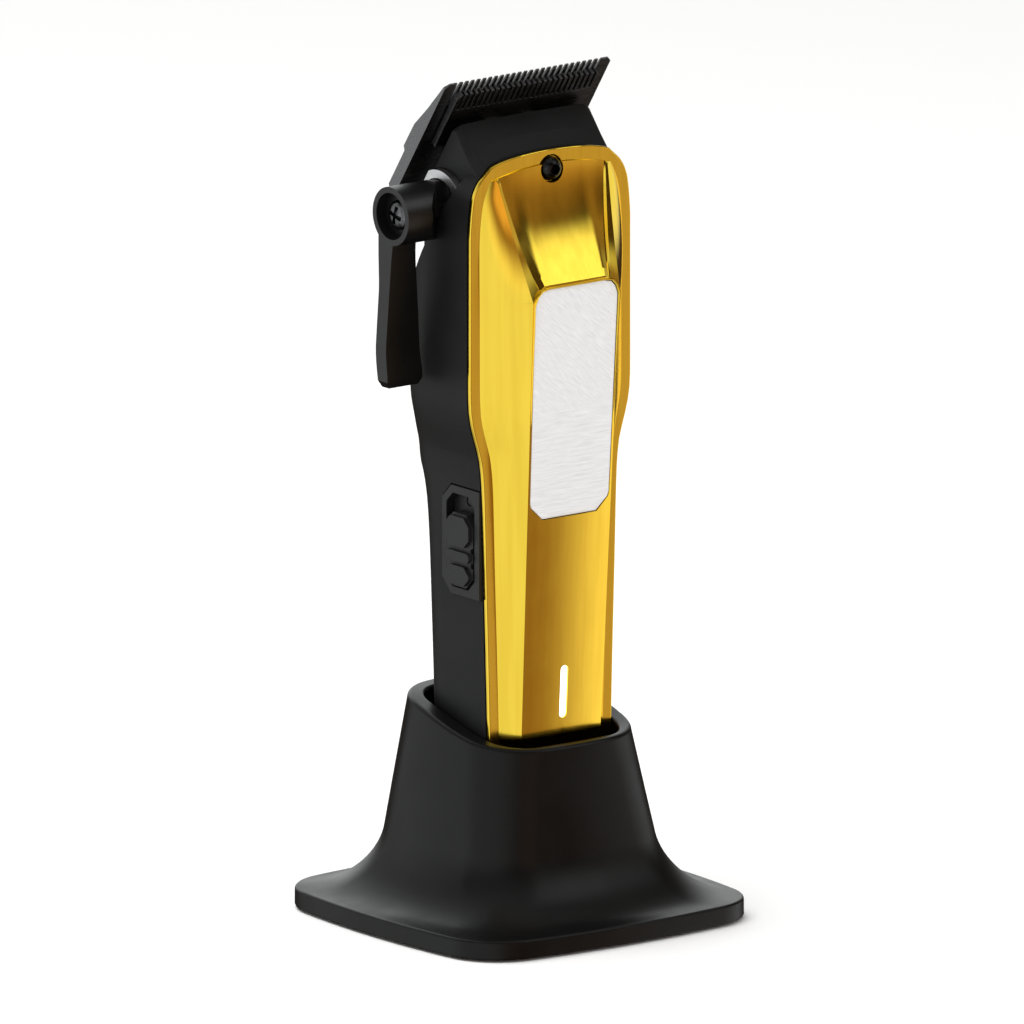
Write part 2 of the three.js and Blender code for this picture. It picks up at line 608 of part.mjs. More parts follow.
function taperLever() {
  const at = (x) => [x, LEVER_Y, LEVER_Z];
  const hub = rod(HUB_RADIUS, at(LEVER_FACE), at(HUB_SHOULDER), 36);
  // height, front, back, inner edge
  const armStations = [[168, 0.5, 7.4, -28.8], [160, 2.2, 7.4, -28.2], [152, 3.1, 7.2, -27.2],
    [144, 3.8, 7.8, -26.2], [136, 4.5, 8.4, -25.3], [129, 3.8, 7.6, -24.8], [127.5, 4.3, 7, -25.8]];
  const arm = loft(armStations.map(([z, y0, y1, inner]) => {
    const outer = z < 128 ? LEVER_FACE + 1 : LEVER_FACE;
    return [[outer, y0, z], [inner, y0, z], [inner, y1, z], [outer, y1, z]];
  }));
  const oblique = prism([[HUB_SHOULDER + 1, LEVER_Y - 1], [-28, LEVER_Y - 6.5], [-28, -9],
    [-15, -9], [-15, LEVER_Y - 1]], 16, frame([1, 0, 0], [0, 1, 0], [0, 0, LEVER_Z - 8]));
  const shell = cut(join(hub, arm), rod(4.6, at(LEVER_FACE - 1), at(LEVER_FACE + 2.4)),
    rod(1.6, at(LEVER_FACE), at(LEVER_BORE_END), 16), oblique);
  // part of the hub that stays above the housing's shoulder as the lever turns
  const [from, to] = [-40, 97].map(THREE.MathUtils.degToRad);
  const fan = Array.from({ length: 13 }, (_, i) => from + (to - from) * i / 12);
  const sector = onSide([[LEVER_Y, LEVER_Z], ...fan.map((angle) =>
    [LEVER_Y + 6.3 * Math.cos(angle), LEVER_Z + 6.3 * Math.sin(angle)])], HUB_SHOULDER - 1, HUB_END);
  return join(shell, sector, rod(2.5, at(LEVER_BORE_END), at(-15.6), 20));
}

function leverScrew() {
  const at = (x) => [x, LEVER_Y, LEVER_Z];
  const head = rod(3.4, at(LEVER_FACE + 0.6), at(LEVER_FACE + 2.1), 24);
  const star = rod(1.3, at(LEVER_FACE), at(LEVER_FACE + 1.5), 6);
  return join(cut(head, star), rod(1.3, at(LEVER_FACE + 2), at(LEVER_BORE_END - 0.5), 12));
}

function leverCam() {
  const pinZ = LEVER_Z + 2.6;
  return join(rod(4, [-15.2, LEVER_Y, LEVER_Z], [-12.4, LEVER_Y, LEVER_Z], 20),
    rod(1.2, [-12.6, LEVER_Y, pinZ], [-10.6, LEVER_Y, pinZ], 12));
}

// ---- drive -------------------------------------------------------------------------------------

// Solid of revolution about the motor axis from [radius, height] points.
function turned(profile, sides = 28) {
  const points = [...profile, profile[0]].map(([r, z]) => new THREE.Vector2(r, z));
  const geometry = new THREE.LatheGeometry(points, sides);
  return toSolid(geometry.rotateX(Math.PI / 2).translate(0, MOTOR_Y, 0));
}

function eccentric() {
  const disc = rod(5, [0, MOTOR_Y, 160.3], [0, MOTOR_Y, 166], 24);
  const pinY = MOTOR_Y + THROW;
  return join(disc, rod(1, [0, pinY, 165], [0, pinY, 180.2], 16));
}

function buildHousing() {
  add(clipper, 'rear_housing', rearHousing(), 'softBlack');
  add(clipper, 'front_cover', frontCover(), 'gold');
  add(clipper, 'insert_panel', onFace(panelOutline(0), -1.2, 0.1), 'panel');
  add(clipper, 'light_bar', onFace(stadium(1.2, 0.7, 13.1), -3.4, 0.1), 'light');
  const headY = SEAM_Y - GAP / 2 - FLANGE_DEPTH - GAP;
  const cap = cut(rod(2.5, [0, headY - 2, SCREW_Z], [0, headY, SCREW_Z]),
    rod(1.2, [0, headY - 3, SCREW_Z], [0, headY - 0.8, SCREW_Z], 6));
  add(clipper, 'cover_screw', join(cap, rod(1.4, [0, headY - 0.5, SCREW_Z], [0, -5, SCREW_Z], 12)),
    'blackBlade');
  const bottom = housingLoft(WALL + GAP, BODY_BOTTOM, SEAM_Y + GAP)
    .intersect(box(-30, 30, -30, 30, BODY_BOTTOM + 0.2, BODY_BOTTOM + 3.2));
  add(clipper, 'bottom_cap', cut(bottom, ...[-PIN_X, PIN_X].flatMap((x) => [
    rod(1.6, [x, PIN_Y, 15], [x, PIN_Y, 25], 16),
    rod(3, [x, PIN_Y, BODY_BOTTOM + 0.9], [x, PIN_Y, 25], 20)])), 'softBlack');
  for (const [side, x] of [['left', -PIN_X], ['right', PIN_X]]) {
    const contact = rod(2.6, [x, PIN_Y, BODY_BOTTOM + 1.2], [x, PIN_Y, BODY_BOTTOM + 2.4], 20);
    add(clipper, `charge_contact_${side}`, contact, 'brass');
  }
  for (const [place, z] of [['lower', REAR_SCREW_LOW], ['upper', REAR_SCREW_HIGH]]) {
    const outer = stationAt(z)[2];
    const screw = join(rod(2.3, [0, outer - 1.9, z], [0, outer - 0.5, z], 20),
      rod(1.2, [0, 2, z], [0, outer - 1.8, z], 12));
    add(clipper, `rear_screw_${place}`, screw, 'blackBlade');
  }
}

function buildInside() {
  const cradle = cut(box(-10.2, 10.2, -7.4, -5.9, 34, 113), box(-8, 8, -8, -5, 44, 98));
  add(clipper, 'inner_frame', cradle, 'white');
  add(clipper, 'battery_cell', rod(9.1, [0, 4.6, 36], [0, 4.6, 101], 28), 'cell');
  add(clipper, 'control_board', box(-11, 11, -10.3, -8.9, 40, 113), 'board');
  add(clipper, 'light_led', box(-1, 1, -12.6, -10.6, 51, 60), 'white');
  add(clipper, 'slide_contact_switch', box(-15.2, -10.6, -6.4, 1.4, 86, 100), 'steel');
  const bezel = cut(switchOpening(0, -19.6, -17),
    chamferedBox(-30, -10, SLOT_FRONT, SLOT_BACK, SLOT_BOTTOM, SLOT_TOP, 2.4));
  add(clipper, 'switch_bezel', bezel, 'softBlack');
  const can = turned([[1.9, 118], [MOTOR_RADIUS, 118], [MOTOR_RADIUS, 149], [10.3, 150.5],
    [1.9, 150.5]]);
  add(clipper, 'motor_can', can, 'steel');
  add(clipper, 'motor_end_cap', turned([[1.9, 115.4], [9, 115.4], [10.6, 116.6], [10.6, 117.7],
    [1.9, 117.7]]), 'white');
  const plate = prism(roundedBox(16, 10.5, 5), 2, frame([1, 0, 0], [0, 1, 0], [0, 1.6, 151]));
  add(clipper, 'motor_mount', cut(plate, rod(2.4, [0, MOTOR_Y, 140], [0, MOTOR_Y, 160], 20)), 'white');
  add(clipper, 'front_bearing', turned([[1.9, 153.3], [4.4, 153.3], [4.4, 157], [1.9, 157]], 24), 'brass');
}

function buildDrive() {
  const rotor = new THREE.Group();
  clipper.add(rotor);
  add(rotor, 'motor_shaft', rod(1.6, [0, MOTOR_Y, 115.8], [0, MOTOR_Y, 160], 16), 'steel');
  add(rotor, 'eccentric_cam', eccentric(), 'steel');
}

function buildHead() {
  const at = (x) => [x, LEVER_Y, LEVER_Z];
  const plate = cut(rod(9, at(RECESS_FLOOR - 1), at(RECESS_FLOOR - GAP), 36)
    .intersect(bladeBox(-40, 40, -60, 90, SHOULDER_T + GAP, NOSE_T - 0.1)),
  rod(2.9, at(-25), at(-10), 20));
  add(clipper, 'lever_side_plate', plate, 'steel');
  add(clipper, 'blade_mount', bladeMount(), 'blackBlade');

  const lever = new THREE.Group();
  clipper.add(lever);
  add(lever, 'taper_lever', taperLever(), 'softBlack');
  add(lever, 'lever_screw', leverScrew(), 'blackBlade');
  add(lever, 'lever_cam', leverCam(), 'steel');

  const fixed = new THREE.Group();
  clipper.add(fixed);
  add(fixed, 'fixed_blade', fixedBlade(), 'blackBlade');
  add(fixed, 'blade_screw_left', bladeScrew(-SCREW_X), 'steel');
  add(fixed, 'blade_screw_right', bladeScrew(SCREW_X), 'steel');

  const moving = new THREE.Group();
  clipper.add(moving);
  add(moving, 'cutter_blade', cutterBlade(), 'blackBlade');
  add(moving, 'drive_yoke', driveYoke(), 'white');

  const slide = new THREE.Group();
  clipper.add(slide);
  add(slide, 'power_switch', slider(), 'softBlack');
}

buildStand();
buildHousing();
buildInside();
buildDrive();
buildHead();

export default clipperAndStand;
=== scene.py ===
import json
import math

import bmesh
import bpy
from mathutils import Matrix, Vector


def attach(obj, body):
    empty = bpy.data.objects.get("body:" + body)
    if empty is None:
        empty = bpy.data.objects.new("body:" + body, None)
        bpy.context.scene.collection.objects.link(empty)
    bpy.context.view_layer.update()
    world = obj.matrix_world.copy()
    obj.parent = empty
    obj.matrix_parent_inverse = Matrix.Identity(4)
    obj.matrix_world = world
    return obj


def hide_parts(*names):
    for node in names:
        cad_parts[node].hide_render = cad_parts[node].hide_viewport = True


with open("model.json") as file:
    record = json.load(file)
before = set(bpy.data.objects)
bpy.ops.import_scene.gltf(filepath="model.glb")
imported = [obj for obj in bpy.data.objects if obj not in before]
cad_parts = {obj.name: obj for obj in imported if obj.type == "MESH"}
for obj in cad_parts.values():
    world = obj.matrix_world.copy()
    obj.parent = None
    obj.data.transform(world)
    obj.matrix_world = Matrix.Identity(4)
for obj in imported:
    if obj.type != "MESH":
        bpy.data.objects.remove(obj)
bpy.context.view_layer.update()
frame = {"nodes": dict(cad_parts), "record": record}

MM = 0.001
TURN = 2 * math.pi
CAMERA_AZIMUTH, CAMERA_ELEVATION, CAMERA_DISTANCE = -37.0, 13.3, 1.5
# what the camera looks at, right of and above the middle of the foot, and the width it sees
AIM_RIGHT, AIM_UP, VIEW_WIDTH = -1.68 * MM, 91.8 * MM, 0.2354


# ---- camera ---------------------------------------------------------------------------

def add_camera():
    azimuth, elevation = math.radians(CAMERA_AZIMUTH), math.radians(CAMERA_ELEVATION)
    back = Vector((math.sin(azimuth) * math.cos(elevation),
                   -math.cos(azimuth) * math.cos(elevation), math.sin(elevation)))
    right = Vector((math.cos(azimuth), math.sin(azimuth), 0))
    up = back.cross(right)
    aim = right * AIM_RIGHT + up * AIM_UP
    data = bpy.data.cameras.new("camera")
    data.type = "ORTHO"
    data.ortho_scale = VIEW_WIDTH
    data.clip_end = 20
    camera = bpy.data.objects.new("camera", data)
    camera.location = aim + back * CAMERA_DISTANCE
    camera.rotation_euler = back.to_track_quat("Z", "Y").to_euler()
    bpy.context.scene.collection.objects.link(camera)
    bpy.context.scene.camera = camera


add_camera()


# ---- mesh tools, all in millimetres until a piece is placed ------------------------------

def mesh_object(name, verts, faces):
    mesh = bpy.data.meshes.new(name)
    mesh.from_pydata([tuple(v) for v in verts], [], faces)
    obj = bpy.data.objects.new(name, mesh)
    bpy.context.scene.collection.objects.link(obj)
    weld(obj, 0.0005)
    return obj


def weld(obj, distance):
    """Joins points closer than distance and turns every face outwards."""
    bm = bmesh.new()
    bm.from_mesh(obj.data)
    bmesh.ops.remove_doubles(bm, verts=bm.verts, dist=distance)
    bmesh.ops.recalc_face_normals(bm, faces=bm.faces)
    bm.to_mesh(obj.data)
    bm.free()


def loft(rings):
    """Closed skin over rings with the same number of points, with a flat cap at both ends."""
    count = len(rings[0])
    verts = [p for ring in rings for p in ring]
    faces = [[row * count + i, row * count + (i + 1) % count,
              (row + 1) * count + (i + 1) % count, (row + 1) * count + i]
             for row in range(len(rings) - 1) for i in range(count)]
    faces.append(list(range(count))[::-1])
    faces.append([(len(rings) - 1) * count + i for i in range(count)])
    return mesh_object("loft", verts, faces)


def prism(outline, depth, x_axis, y_axis, origin):
    """Outline pushed out by depth along x_axis cross y_axis."""
    x, y = Vector(x_axis), Vector(y_axis)
    out = x.cross(y)
    base = [Vector(origin) + x * a + y * b for a, b in outline]
    return loft([base, [p + out * depth for p in base]])


def box(x0, x1, y0, y1, z0, z1):
    outline = [(x0, y0), (x1, y0), (x1, y1), (x0, y1)]
    return prism(outline, z1 - z0, (1, 0, 0), (0, 1, 0), (0, 0, z0))


def octagon(a0, a1, b0, b1, chamfer):
    """Rectangle with its four corners cut off."""
    return [(a0 + chamfer, b0), (a1 - chamfer, b0), (a1, b0 + chamfer), (a1, b1 - chamfer),
            (a1 - chamfer, b1), (a0 + chamfer, b1), (a0, b1 - chamfer), (a0, b0 + chamfer)]


def polar(radius, angle):
    return radius * math.cos(angle), radius * math.sin(angle)


def circle(radius, sides):
    return [polar(radius, TURN * i / sides) for i in range(sides)]


def across(axis):
    """Two directions square to an axis, so that x cross y runs along it."""
    z = Vector(axis).normalized()
    x = Vector((0, 0, 1)).cross(z)
    x = x.normalized() if x.length > 0.1 else Vector((1, 0, 0))
    return x, z.cross(x)


def rod(radius, start, end, sides=48):
    along = Vector(end) - Vector(start)
    x, y = across(along)
    return prism(circle(radius, sides), along.length, x, y, start)


def turned(profile, start, axis, sides=48):
    """Solid of revolution: (radius, distance along axis) from one end to the other."""
    x, y = across(axis)
    z = Vector(axis).normalized()
    rings = [[Vector(start) + z * d + x * a + y * b for a, b in circle(max(r, 0.004), sides)]
             for r, d in profile]
    return loft(rings)


def bake(obj):
    """Turns the result of an object's modifiers into its own mesh."""
    graph = bpy.context.evaluated_depsgraph_get()
    final = bpy.data.meshes.new_from_object(obj.evaluated_get(graph))
    obj.modifiers.clear()
    obj.data = final
    return obj


def combine(obj, tools, operation):
    for tool in tools:
        cutter = obj.modifiers.new("combine", "BOOLEAN")
        cutter.operation = operation
        cutter.solver = "EXACT"
        cutter.object = tool
    bake(obj)
    for tool in tools:
        bpy.data.objects.remove(tool)
    return obj


def cut(obj, *tools):
    return combine(obj, tools, "DIFFERENCE")


def join(obj, *tools):
    return combine(obj, tools, "UNION")


def keep(obj, *tools):
    return combine(obj, tools, "INTERSECT")


def merge(obj, *others):
    """Puts separate closed shells into one object."""
    bm = bmesh.new()
    for o in (obj, *others):
        bm.from_mesh(o.data)
    bm.to_mesh(obj.data)
    bm.free()
    for o in others:
        bpy.data.objects.remove(o)
    return obj


def soften(obj, width, segments=2, angle=28, flat=1.0):
    """Joins coplanar faces and rounds every edge sharper than angle."""
    bm = bmesh.new()
    bm.from_mesh(obj.data)
    bmesh.ops.remove_doubles(bm, verts=bm.verts, dist=0.002)
    bmesh.ops.dissolve_limit(bm, angle_limit=math.radians(flat), verts=bm.verts, edges=bm.edges)
    bm.to_mesh(obj.data)
    bm.free()
    bevel = obj.modifiers.new("bevel", "BEVEL")
    bevel.width = width
    bevel.segments = segments
    bevel.limit_method = "ANGLE"
    bevel.angle_limit = math.radians(angle)
    bevel.use_clamp_overlap = True
    return bake(obj)


def place(obj, name, body, slot, material, *nodes, angle=40):
    """Scales a piece to metres, gives it its material and body, and hides the CAD nodes it stands for."""
    obj.data.transform(Matrix.Scale(MM, 4))
    obj.name = name
    obj.data.name = name
    obj.data.shade_smooth()
    obj.data.set_sharp_from_angle(angle=math.radians(angle))
    obj.data.materials.clear()
    obj.data.materials.append(material)
    weighted = obj.modifiers.new("normals", "WEIGHTED_NORMAL")
    weighted.keep_sharp = True
    weighted.weight = 80
    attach(obj, body)
    if nodes:
        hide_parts(*nodes)
    return obj


def from_cad(node):
    """A copy of a CAD node in millimetres."""
    mesh = frame["nodes"][node].data.copy()
    mesh.transform(Matrix.Scale(1 / MM, 4))
    obj = bpy.data.objects.new(node + "_copy", mesh)
    bpy.context.scene.collection.objects.link(obj)
    weld(obj, 0.002)
    return obj


def lerp(a, b, t):
    return a + (b - a) * t


def clamp(v, low=0.0, high=1.0):
    return max(low, min(high, v))


def smooth(t):
    t = clamp(t)
    return t * t * (3 - 2 * t)


def spline(points, x):
    """Smooth curve through (x, value...) rows, without overshoot."""
    if x <= points[0][0]:
        return list(points[0][1:])
    if x >= points[-1][0]:
        return list(points[-1][1:])
    k = next(i for i in range(len(points) - 1) if points[i + 1][0] >= x)
    p0, p1 = points[k], points[k + 1]
    before, after = points[max(k - 1, 0)], points[min(k + 2, len(points) - 1)]
    h = p1[0] - p0[0]
    t = (x - p0[0]) / h
    out = []
    for c in range(1, len(p0)):
        step = (p1[c] - p0[c]) / h
        first = (p0[c] - before[c]) / (p0[0] - before[0]) if before is not p0 else step
        last = (after[c] - p1[c]) / (after[0] - p1[0]) if after is not p1 else step
        m0 = 0 if first * step <= 0 else 2 * first * step / (first + step)
        m1 = 0 if last * step <= 0 else 2 * last * step / (last + step)
        out.append(p0[c] * (2 * t**3 - 3 * t * t + 1) + m0 * h * (t**3 - 2 * t * t + t)
                   + p1[c] * (3 * t * t - 2 * t**3) + m1 * h * (t**3 - t * t))
    return out


# ---- materials --------------------------------------------------------------------------

class Shader:
    """Short names for building one node material."""

    def __init__(self, name):
        self.material = bpy.data.materials.new(name)
        self.material.use_nodes = True
        self.tree = self.material.node_tree
        self.bsdf = self.tree.nodes["Principled BSDF"]
        self.place = self.node("ShaderNodeTexCoord").outputs["Object"]

    def node(self, kind, **values):
        node = self.tree.nodes.new(kind)
        for key, value in values.items():
            setattr(node, key, value)
        return node

    def feed(self, socket, value):
        if isinstance(value, bpy.types.NodeSocket):
            self.tree.links.new(value, socket)
        else:
            socket.default_value = value

    def set(self, **values):
        for key, value in values.items():
            name = {"color": "Base Color", "rough": "Roughness", "metal": "Metallic",
                    "coat": "Coat Weight", "coat_rough": "Coat Roughness", "bump": "Normal",
                    "glow": "Emission Color", "glow_strength": "Emission Strength",
                    "spec": "Specular IOR Level"}[key]
            if key == "color" and not isinstance(value, bpy.types.NodeSocket):
                value = (*value, 1)
            self.feed(self.bsdf.inputs[name], value)

    def stretched(self, scale, turn=(0, 0, 0)):
        """Object coordinates turned, then scaled, for grain that runs one way."""
        turned_place = self.node("ShaderNodeMapping")
        self.feed(turned_place.inputs["Vector"], self.place)
        turned_place.inputs["Rotation"].default_value = [math.radians(a) for a in turn]
        mapping = self.node("ShaderNodeMapping")
        self.feed(mapping.inputs["Vector"], turned_place.outputs["Vector"])
        mapping.inputs["Scale"].default_value = scale
        return mapping.outputs["Vector"]

    def noise(self, scale, detail=3, rough=0.5, at=None):
        noise = self.node("ShaderNodeTexNoise")
        self.feed(noise.inputs["Vector"], at or self.place)
        noise.inputs["Scale"].default_value = scale
        noise.inputs["Detail"].default_value = detail
        noise.inputs["Roughness"].default_value = rough
        return noise.outputs["Fac"]

    def cells(self, scale, at=None, feature="F1"):
        cells = self.node("ShaderNodeTexVoronoi", feature=feature)
        self.feed(cells.inputs["Vector"], at or self.place)
        cells.inputs["Scale"].default_value = scale
        return cells.outputs["Distance"]

    def span(self, value, low, high, out_low, out_high):
        span = self.node("ShaderNodeMapRange", interpolation_type="SMOOTHSTEP")
        for name, given in zip(("Value", "From Min", "From Max", "To Min", "To Max"),
                               (value, low, high, out_low, out_high)):
            self.feed(span.inputs[name], given)
        return span.outputs["Result"]

    def math(self, operation, a, b):
        node = self.node("ShaderNodeMath", operation=operation)
        self.feed(node.inputs[0], a)
        self.feed(node.inputs[1], b)
        return node.outputs[0]

    def mix(self, share, a, b):
        mix = self.node("ShaderNodeMix", data_type="RGBA")
        self.feed(mix.inputs["Factor"], share)
        for socket, value in ((mix.inputs[6], a), (mix.inputs[7], b)):
            self.feed(socket, value if isinstance(value, bpy.types.NodeSocket) else (*value, 1))
        return mix.outputs[2]

    def height(self):
        split = self.node("ShaderNodeSeparateXYZ")
        self.feed(split.inputs[0], self.place)
        return split.outputs["Z"]

    def bump(self, height, strength, distance):
        bump = self.node("ShaderNodeBump")
        self.feed(bump.inputs["Height"], height)
        bump.inputs["Strength"].default_value = strength
        bump.inputs["Distance"].default_value = distance
        return bump.outputs["Normal"]


def moulded(name, color, rough, grain, depth, lift=1.35, **more):
    """Moulded plastic with a fine spark-eroded grain and slight handling marks."""
    s = Shader(name)
    fine, wide = s.noise(grain, 2, 0.6), s.noise(55, 4, 0.6)
    tint = s.mix(s.span(wide, 0.35, 0.7, 0, 1), color, [c * lift for c in color])
    speck = s.mix(s.span(fine, 0.55, 0.75, 0, 0.35), tint, [c * 1.9 for c in color])
    s.set(color=speck, rough=s.span(wide, 0.3, 0.75, rough - 0.05, rough + 0.07),
          bump=s.bump(fine, depth, 0.00006), **more)
    return s.material


def metal(name, color, dark, rough, lines, depth):
    """Metal whose grinding lines run along the axis where lines is smallest."""
    s = Shader(name)
    grind, wide = s.noise(1, 3, 0.6, s.stretched(lines)), s.noise(120, 3, 0.6)
    s.set(color=s.mix(s.span(grind, 0.3, 0.75, 0, 1), dark, color), metal=1.0,
          rough=s.math("ADD", s.span(grind, 0.3, 0.7, rough - 0.05, rough + 0.06),
                       s.span(wide, 0.4, 0.7, 0, 0.05)),
          bump=s.bump(grind, depth, 0.00003))
    return s.material


def gold_plate():
    """Polished gold with faint upright streaks, haze and a few hairlines."""
    s = Shader("gold_plate")
    streaks = s.noise(1, 2, 0.5, s.stretched((520, 520, 14)))
    haze = s.noise(90, 4, 0.6)
    hairline = s.noise(1, 2, 0.6, s.stretched((2600, 2600, 120), (12, 0, 0)))
    tone = s.mix(s.span(streaks, 0.3, 0.7, 0, 1), (0.83, 0.578, 0.056), (0.89, 0.632, 0.066))
    rough = s.math("ADD", s.span(haze, 0.35, 0.7, 0.13, 0.17), s.span(hairline, 0.6, 0.8, 0, 0.03))
    s.set(color=tone, metal=1.0, rough=rough, bump=s.bump(streaks, 0.05, 0.00004))
    return s.material


def brushed_panel():
    """Pale insert: slanting grain in its upper part, level grain in its lower part."""
    s = Shader("brushed_panel")
    upper = s.span(s.height(), 0.118, 0.128, 0, 1)
    slanted = s.noise(1, 3, 0.65, s.stretched((260, 1, 4200), (0, -40, 0)))
    level = s.noise(1, 3, 0.65, s.stretched((160, 1, 5200)))
    grain = s.math("ADD", s.math("MULTIPLY", slanted, upper),
                   s.math("MULTIPLY", level, s.math("SUBTRACT", 1.0, upper)))
    s.set(color=s.mix(s.span(grain, 0.3, 0.7, 0, 1), (0.71, 0.72, 0.735), (0.86, 0.87, 0.885)),
          metal=0.0, rough=s.span(grain, 0.3, 0.7, 0.38, 0.55),
          bump=s.bump(grain, 0.35, 0.00005))
    return s.material


def lit_diffuser():
    """Cloudy window lit from behind, a little weaker at both ends."""
    s = Shader("lit_diffuser")
    cloud = s.noise(700, 2, 0.5)
    along = s.height()
    ends = s.math("MULTIPLY", s.span(along, 0.0488, 0.0505, 0.75, 1),
                  s.span(along, 0.0598, 0.0615, 1, 0.75))
    s.set(color=(0.9, 0.9, 0.92), rough=s.span(cloud, 0.3, 0.7, 0.25, 0.4),
          glow=s.mix(s.span(cloud, 0.3, 0.7, 0, 0.3), (1, 1, 1), (0.86, 0.92, 1.0)),
          glow_strength=s.math("MULTIPLY", ends, 1.7))
    return s.material


def circuit_board():
    """Green solder mask with raised tracks and tinned pads."""
    s = Shader("circuit_board")
    tracks = s.span(s.cells(420, s.stretched((1, 1, 0.6)), "DISTANCE_TO_EDGE"), 0.02, 0.05, 1, 0)
    pads = s.span(s.cells(650), 0.1, 0.14, 1, 0)
    mask = s.mix(tracks, (0.012, 0.16, 0.06), (0.02, 0.30, 0.11))
    s.set(color=s.mix(pads, mask, (0.75, 0.72, 0.62)), rough=s.span(pads, 0, 1, 0.42, 0.25),
          metal=s.span(pads, 0, 1, 0, 0.9), bump=s.bump(tracks, 0.3, 0.00003))
    return s.material


def cell_sleeve():
    """Shrink sleeve: creased blue film with a pale ring at its upper end."""
    s = Shader("cell_sleeve")
    crease = s.noise(1, 4, 0.6, s.stretched((160, 160, 700)))
    ring = s.span(s.height(), 0.0965, 0.0972, 0, 1)
    blue = s.mix(s.span(crease, 0.35, 0.7, 0, 1), (0.03, 0.12, 0.36), (0.05, 0.19, 0.48))
    s.set(color=s.mix(ring, blue, (0.75, 0.76, 0.78)), rough=s.span(crease, 0.3, 0.7, 0.28, 0.42),
          bump=s.bump(crease, 0.25, 0.0001), coat=0.3, coat_rough=0.2)
    return s.material


HOUSING = moulded("soft_touch_black", (0.0065, 0.0065, 0.0068), 0.50, 5200, 0.25, spec=0.2)
STAND = moulded("stand_black", (0.0026, 0.0026, 0.0027), 0.36, 4200, 0.18, spec=0.2)
SWITCH = moulded("switch_grey", (0.0105, 0.0105, 0.0109), 0.48, 6000, 0.3, spec=0.35)
LEVER_BLACK = moulded("lever_black", (0.0035, 0.0035, 0.0036), 0.34, 5200, 0.14, spec=0.4)
RUBBER = moulded("sole_rubber", (0.012, 0.012, 0.012), 0.82, 2600, 0.6)
WHITE = moulded("white_plastic", (0.66, 0.66, 0.62), 0.42, 2600, 0.12, 1.1)
GOLD = gold_plate()
PANEL = brushed_panel()
GLOW = lit_diffuser()
BOARD = circuit_board()
SLEEVE = cell_sleeve()
BLADE = metal("black_oxide_blade", (0.21, 0.21, 0.215), (0.12, 0.12, 0.123), 0.30,
              (240, 5200, 5200), 0.12)
DARK_STEEL = metal("black_screw_steel", (0.04, 0.04, 0.042), (0.015, 0.015, 0.016), 0.26,
                   (1500, 1500, 1500), 0.1)
MOUNT_STEEL = metal("phosphated_mount", (0.23, 0.23, 0.235), (0.16, 0.16, 0.163), 0.36,
                    (2600, 2600, 2600), 0.08)
SCREW_STEEL = metal("polished_black_screw", (0.16, 0.16, 0.165), (0.07, 0.07, 0.072), 0.2,
                    (1500, 1500, 1500), 0.08)
STEEL = metal("satin_steel", (0.74, 0.74, 0.75), (0.56, 0.56, 0.57), 0.34, (5200, 300, 5200), 0.1)
BRASS = metal("contact_brass", (0.83, 0.63, 0.28), (0.62, 0.42, 0.15), 0.24, (900, 900, 3800), 0.1)


# ---- stand ------------------------------------------------------------------------------

# half widths, bows, corner radii and heights of the square rings, from the foot to the cup
FOOT_HALF, FOOT_BOW, FOOT_RADIUS = 42.67, 1.53, 14.9
FOOT_TOP, NECK_TOP, NECK_HALF = 5.0, 20.0, 27.3
RIM_HALF, RIM_LOW, RIM_RISE = 23.2, 44.0, 8.0
RIM_ROUND, LIP_ROUND = 1.1, 0.7
CORNER = 15
CUP_HALF, CUP_RADIUS, CUP_FLOOR, CUP_REACH = 18.4, 8.8, 17.7, 1.11
BOSS_X, BOSS_RADIUS, BOSS_BOTTOM, BOSS_TOP = 23, 3, 2.9, 10.8
SCREW_HOLE, PIN_HOLE, PIN_X, PIN_Y = 1.3, 1.4, 4.0, 2.0
# the inlet's pocket: half width, bottom, top, chamfer
INLET_HALF, INLET_LOW, INLET_HIGH, INLET_CHAMFER = 7.5, 5.6, 12.4, 1.8


def square_ring(half, bow, radius, height):
    """Square ring with bowed sides and round corners; height may vary with y."""
    middle = half - radius
    corner = middle - bow
    sweep = (corner * corner + bow * bow) / (2 * bow)
    swing = math.asin(corner / sweep)
    arcs = [(middle - sweep + (sweep + radius) * math.cos(a), (sweep + radius) * math.sin(a))
            for a in (lerp(-swing, swing, i / 14) for i in range(14))]
    arcs += [(corner + radius * math.cos(a), corner + radius * math.sin(a))
             for a in (lerp(swing, math.pi / 2 - swing, i / 16) for i in range(16))]
    ring = []
    for side in range(4):
        c, s = math.cos(side * math.pi / 2), math.sin(side * math.pi / 2)
        ring += [(x * c - y * s, x * s + y * c) for x, y in arcs]
    return at_height(ring, height)


def at_height(outline, height):
    return [(x, y, height(y) if callable(height) else height) for x, y in outline]


def rim_height(y):
    return RIM_LOW + RIM_RISE * smooth((y + RIM_HALF) / (2 * RIM_HALF))


def flare_ring(t, inset=0.0):
    """Ring of the hollow curve from the foot (t = 0) up to the neck (t = 1)."""
    reach = 1 - math.sqrt(1 - (1 - t) ** 2)
    half = lerp(NECK_HALF + 1.8 * (1 - t), FOOT_HALF - 1, reach) - inset
    return square_ring(half, lerp(0.8, FOOT_BOW, reach), lerp(CORNER, FOOT_RADIUS, reach) - inset,
                       lerp(FOOT_TOP, NECK_TOP, t))


def cup_ring(t):
    """Ring of the cup's outside, from the neck (t = 0) up to just below the rim (t = 1)."""
    half = lerp(NECK_HALF, RIM_HALF, t)
    return square_ring(half, 0.8 - 0.3 * t, CORNER,
                       lambda y: lerp(NECK_TOP, rim_height(y) - RIM_ROUND, t))


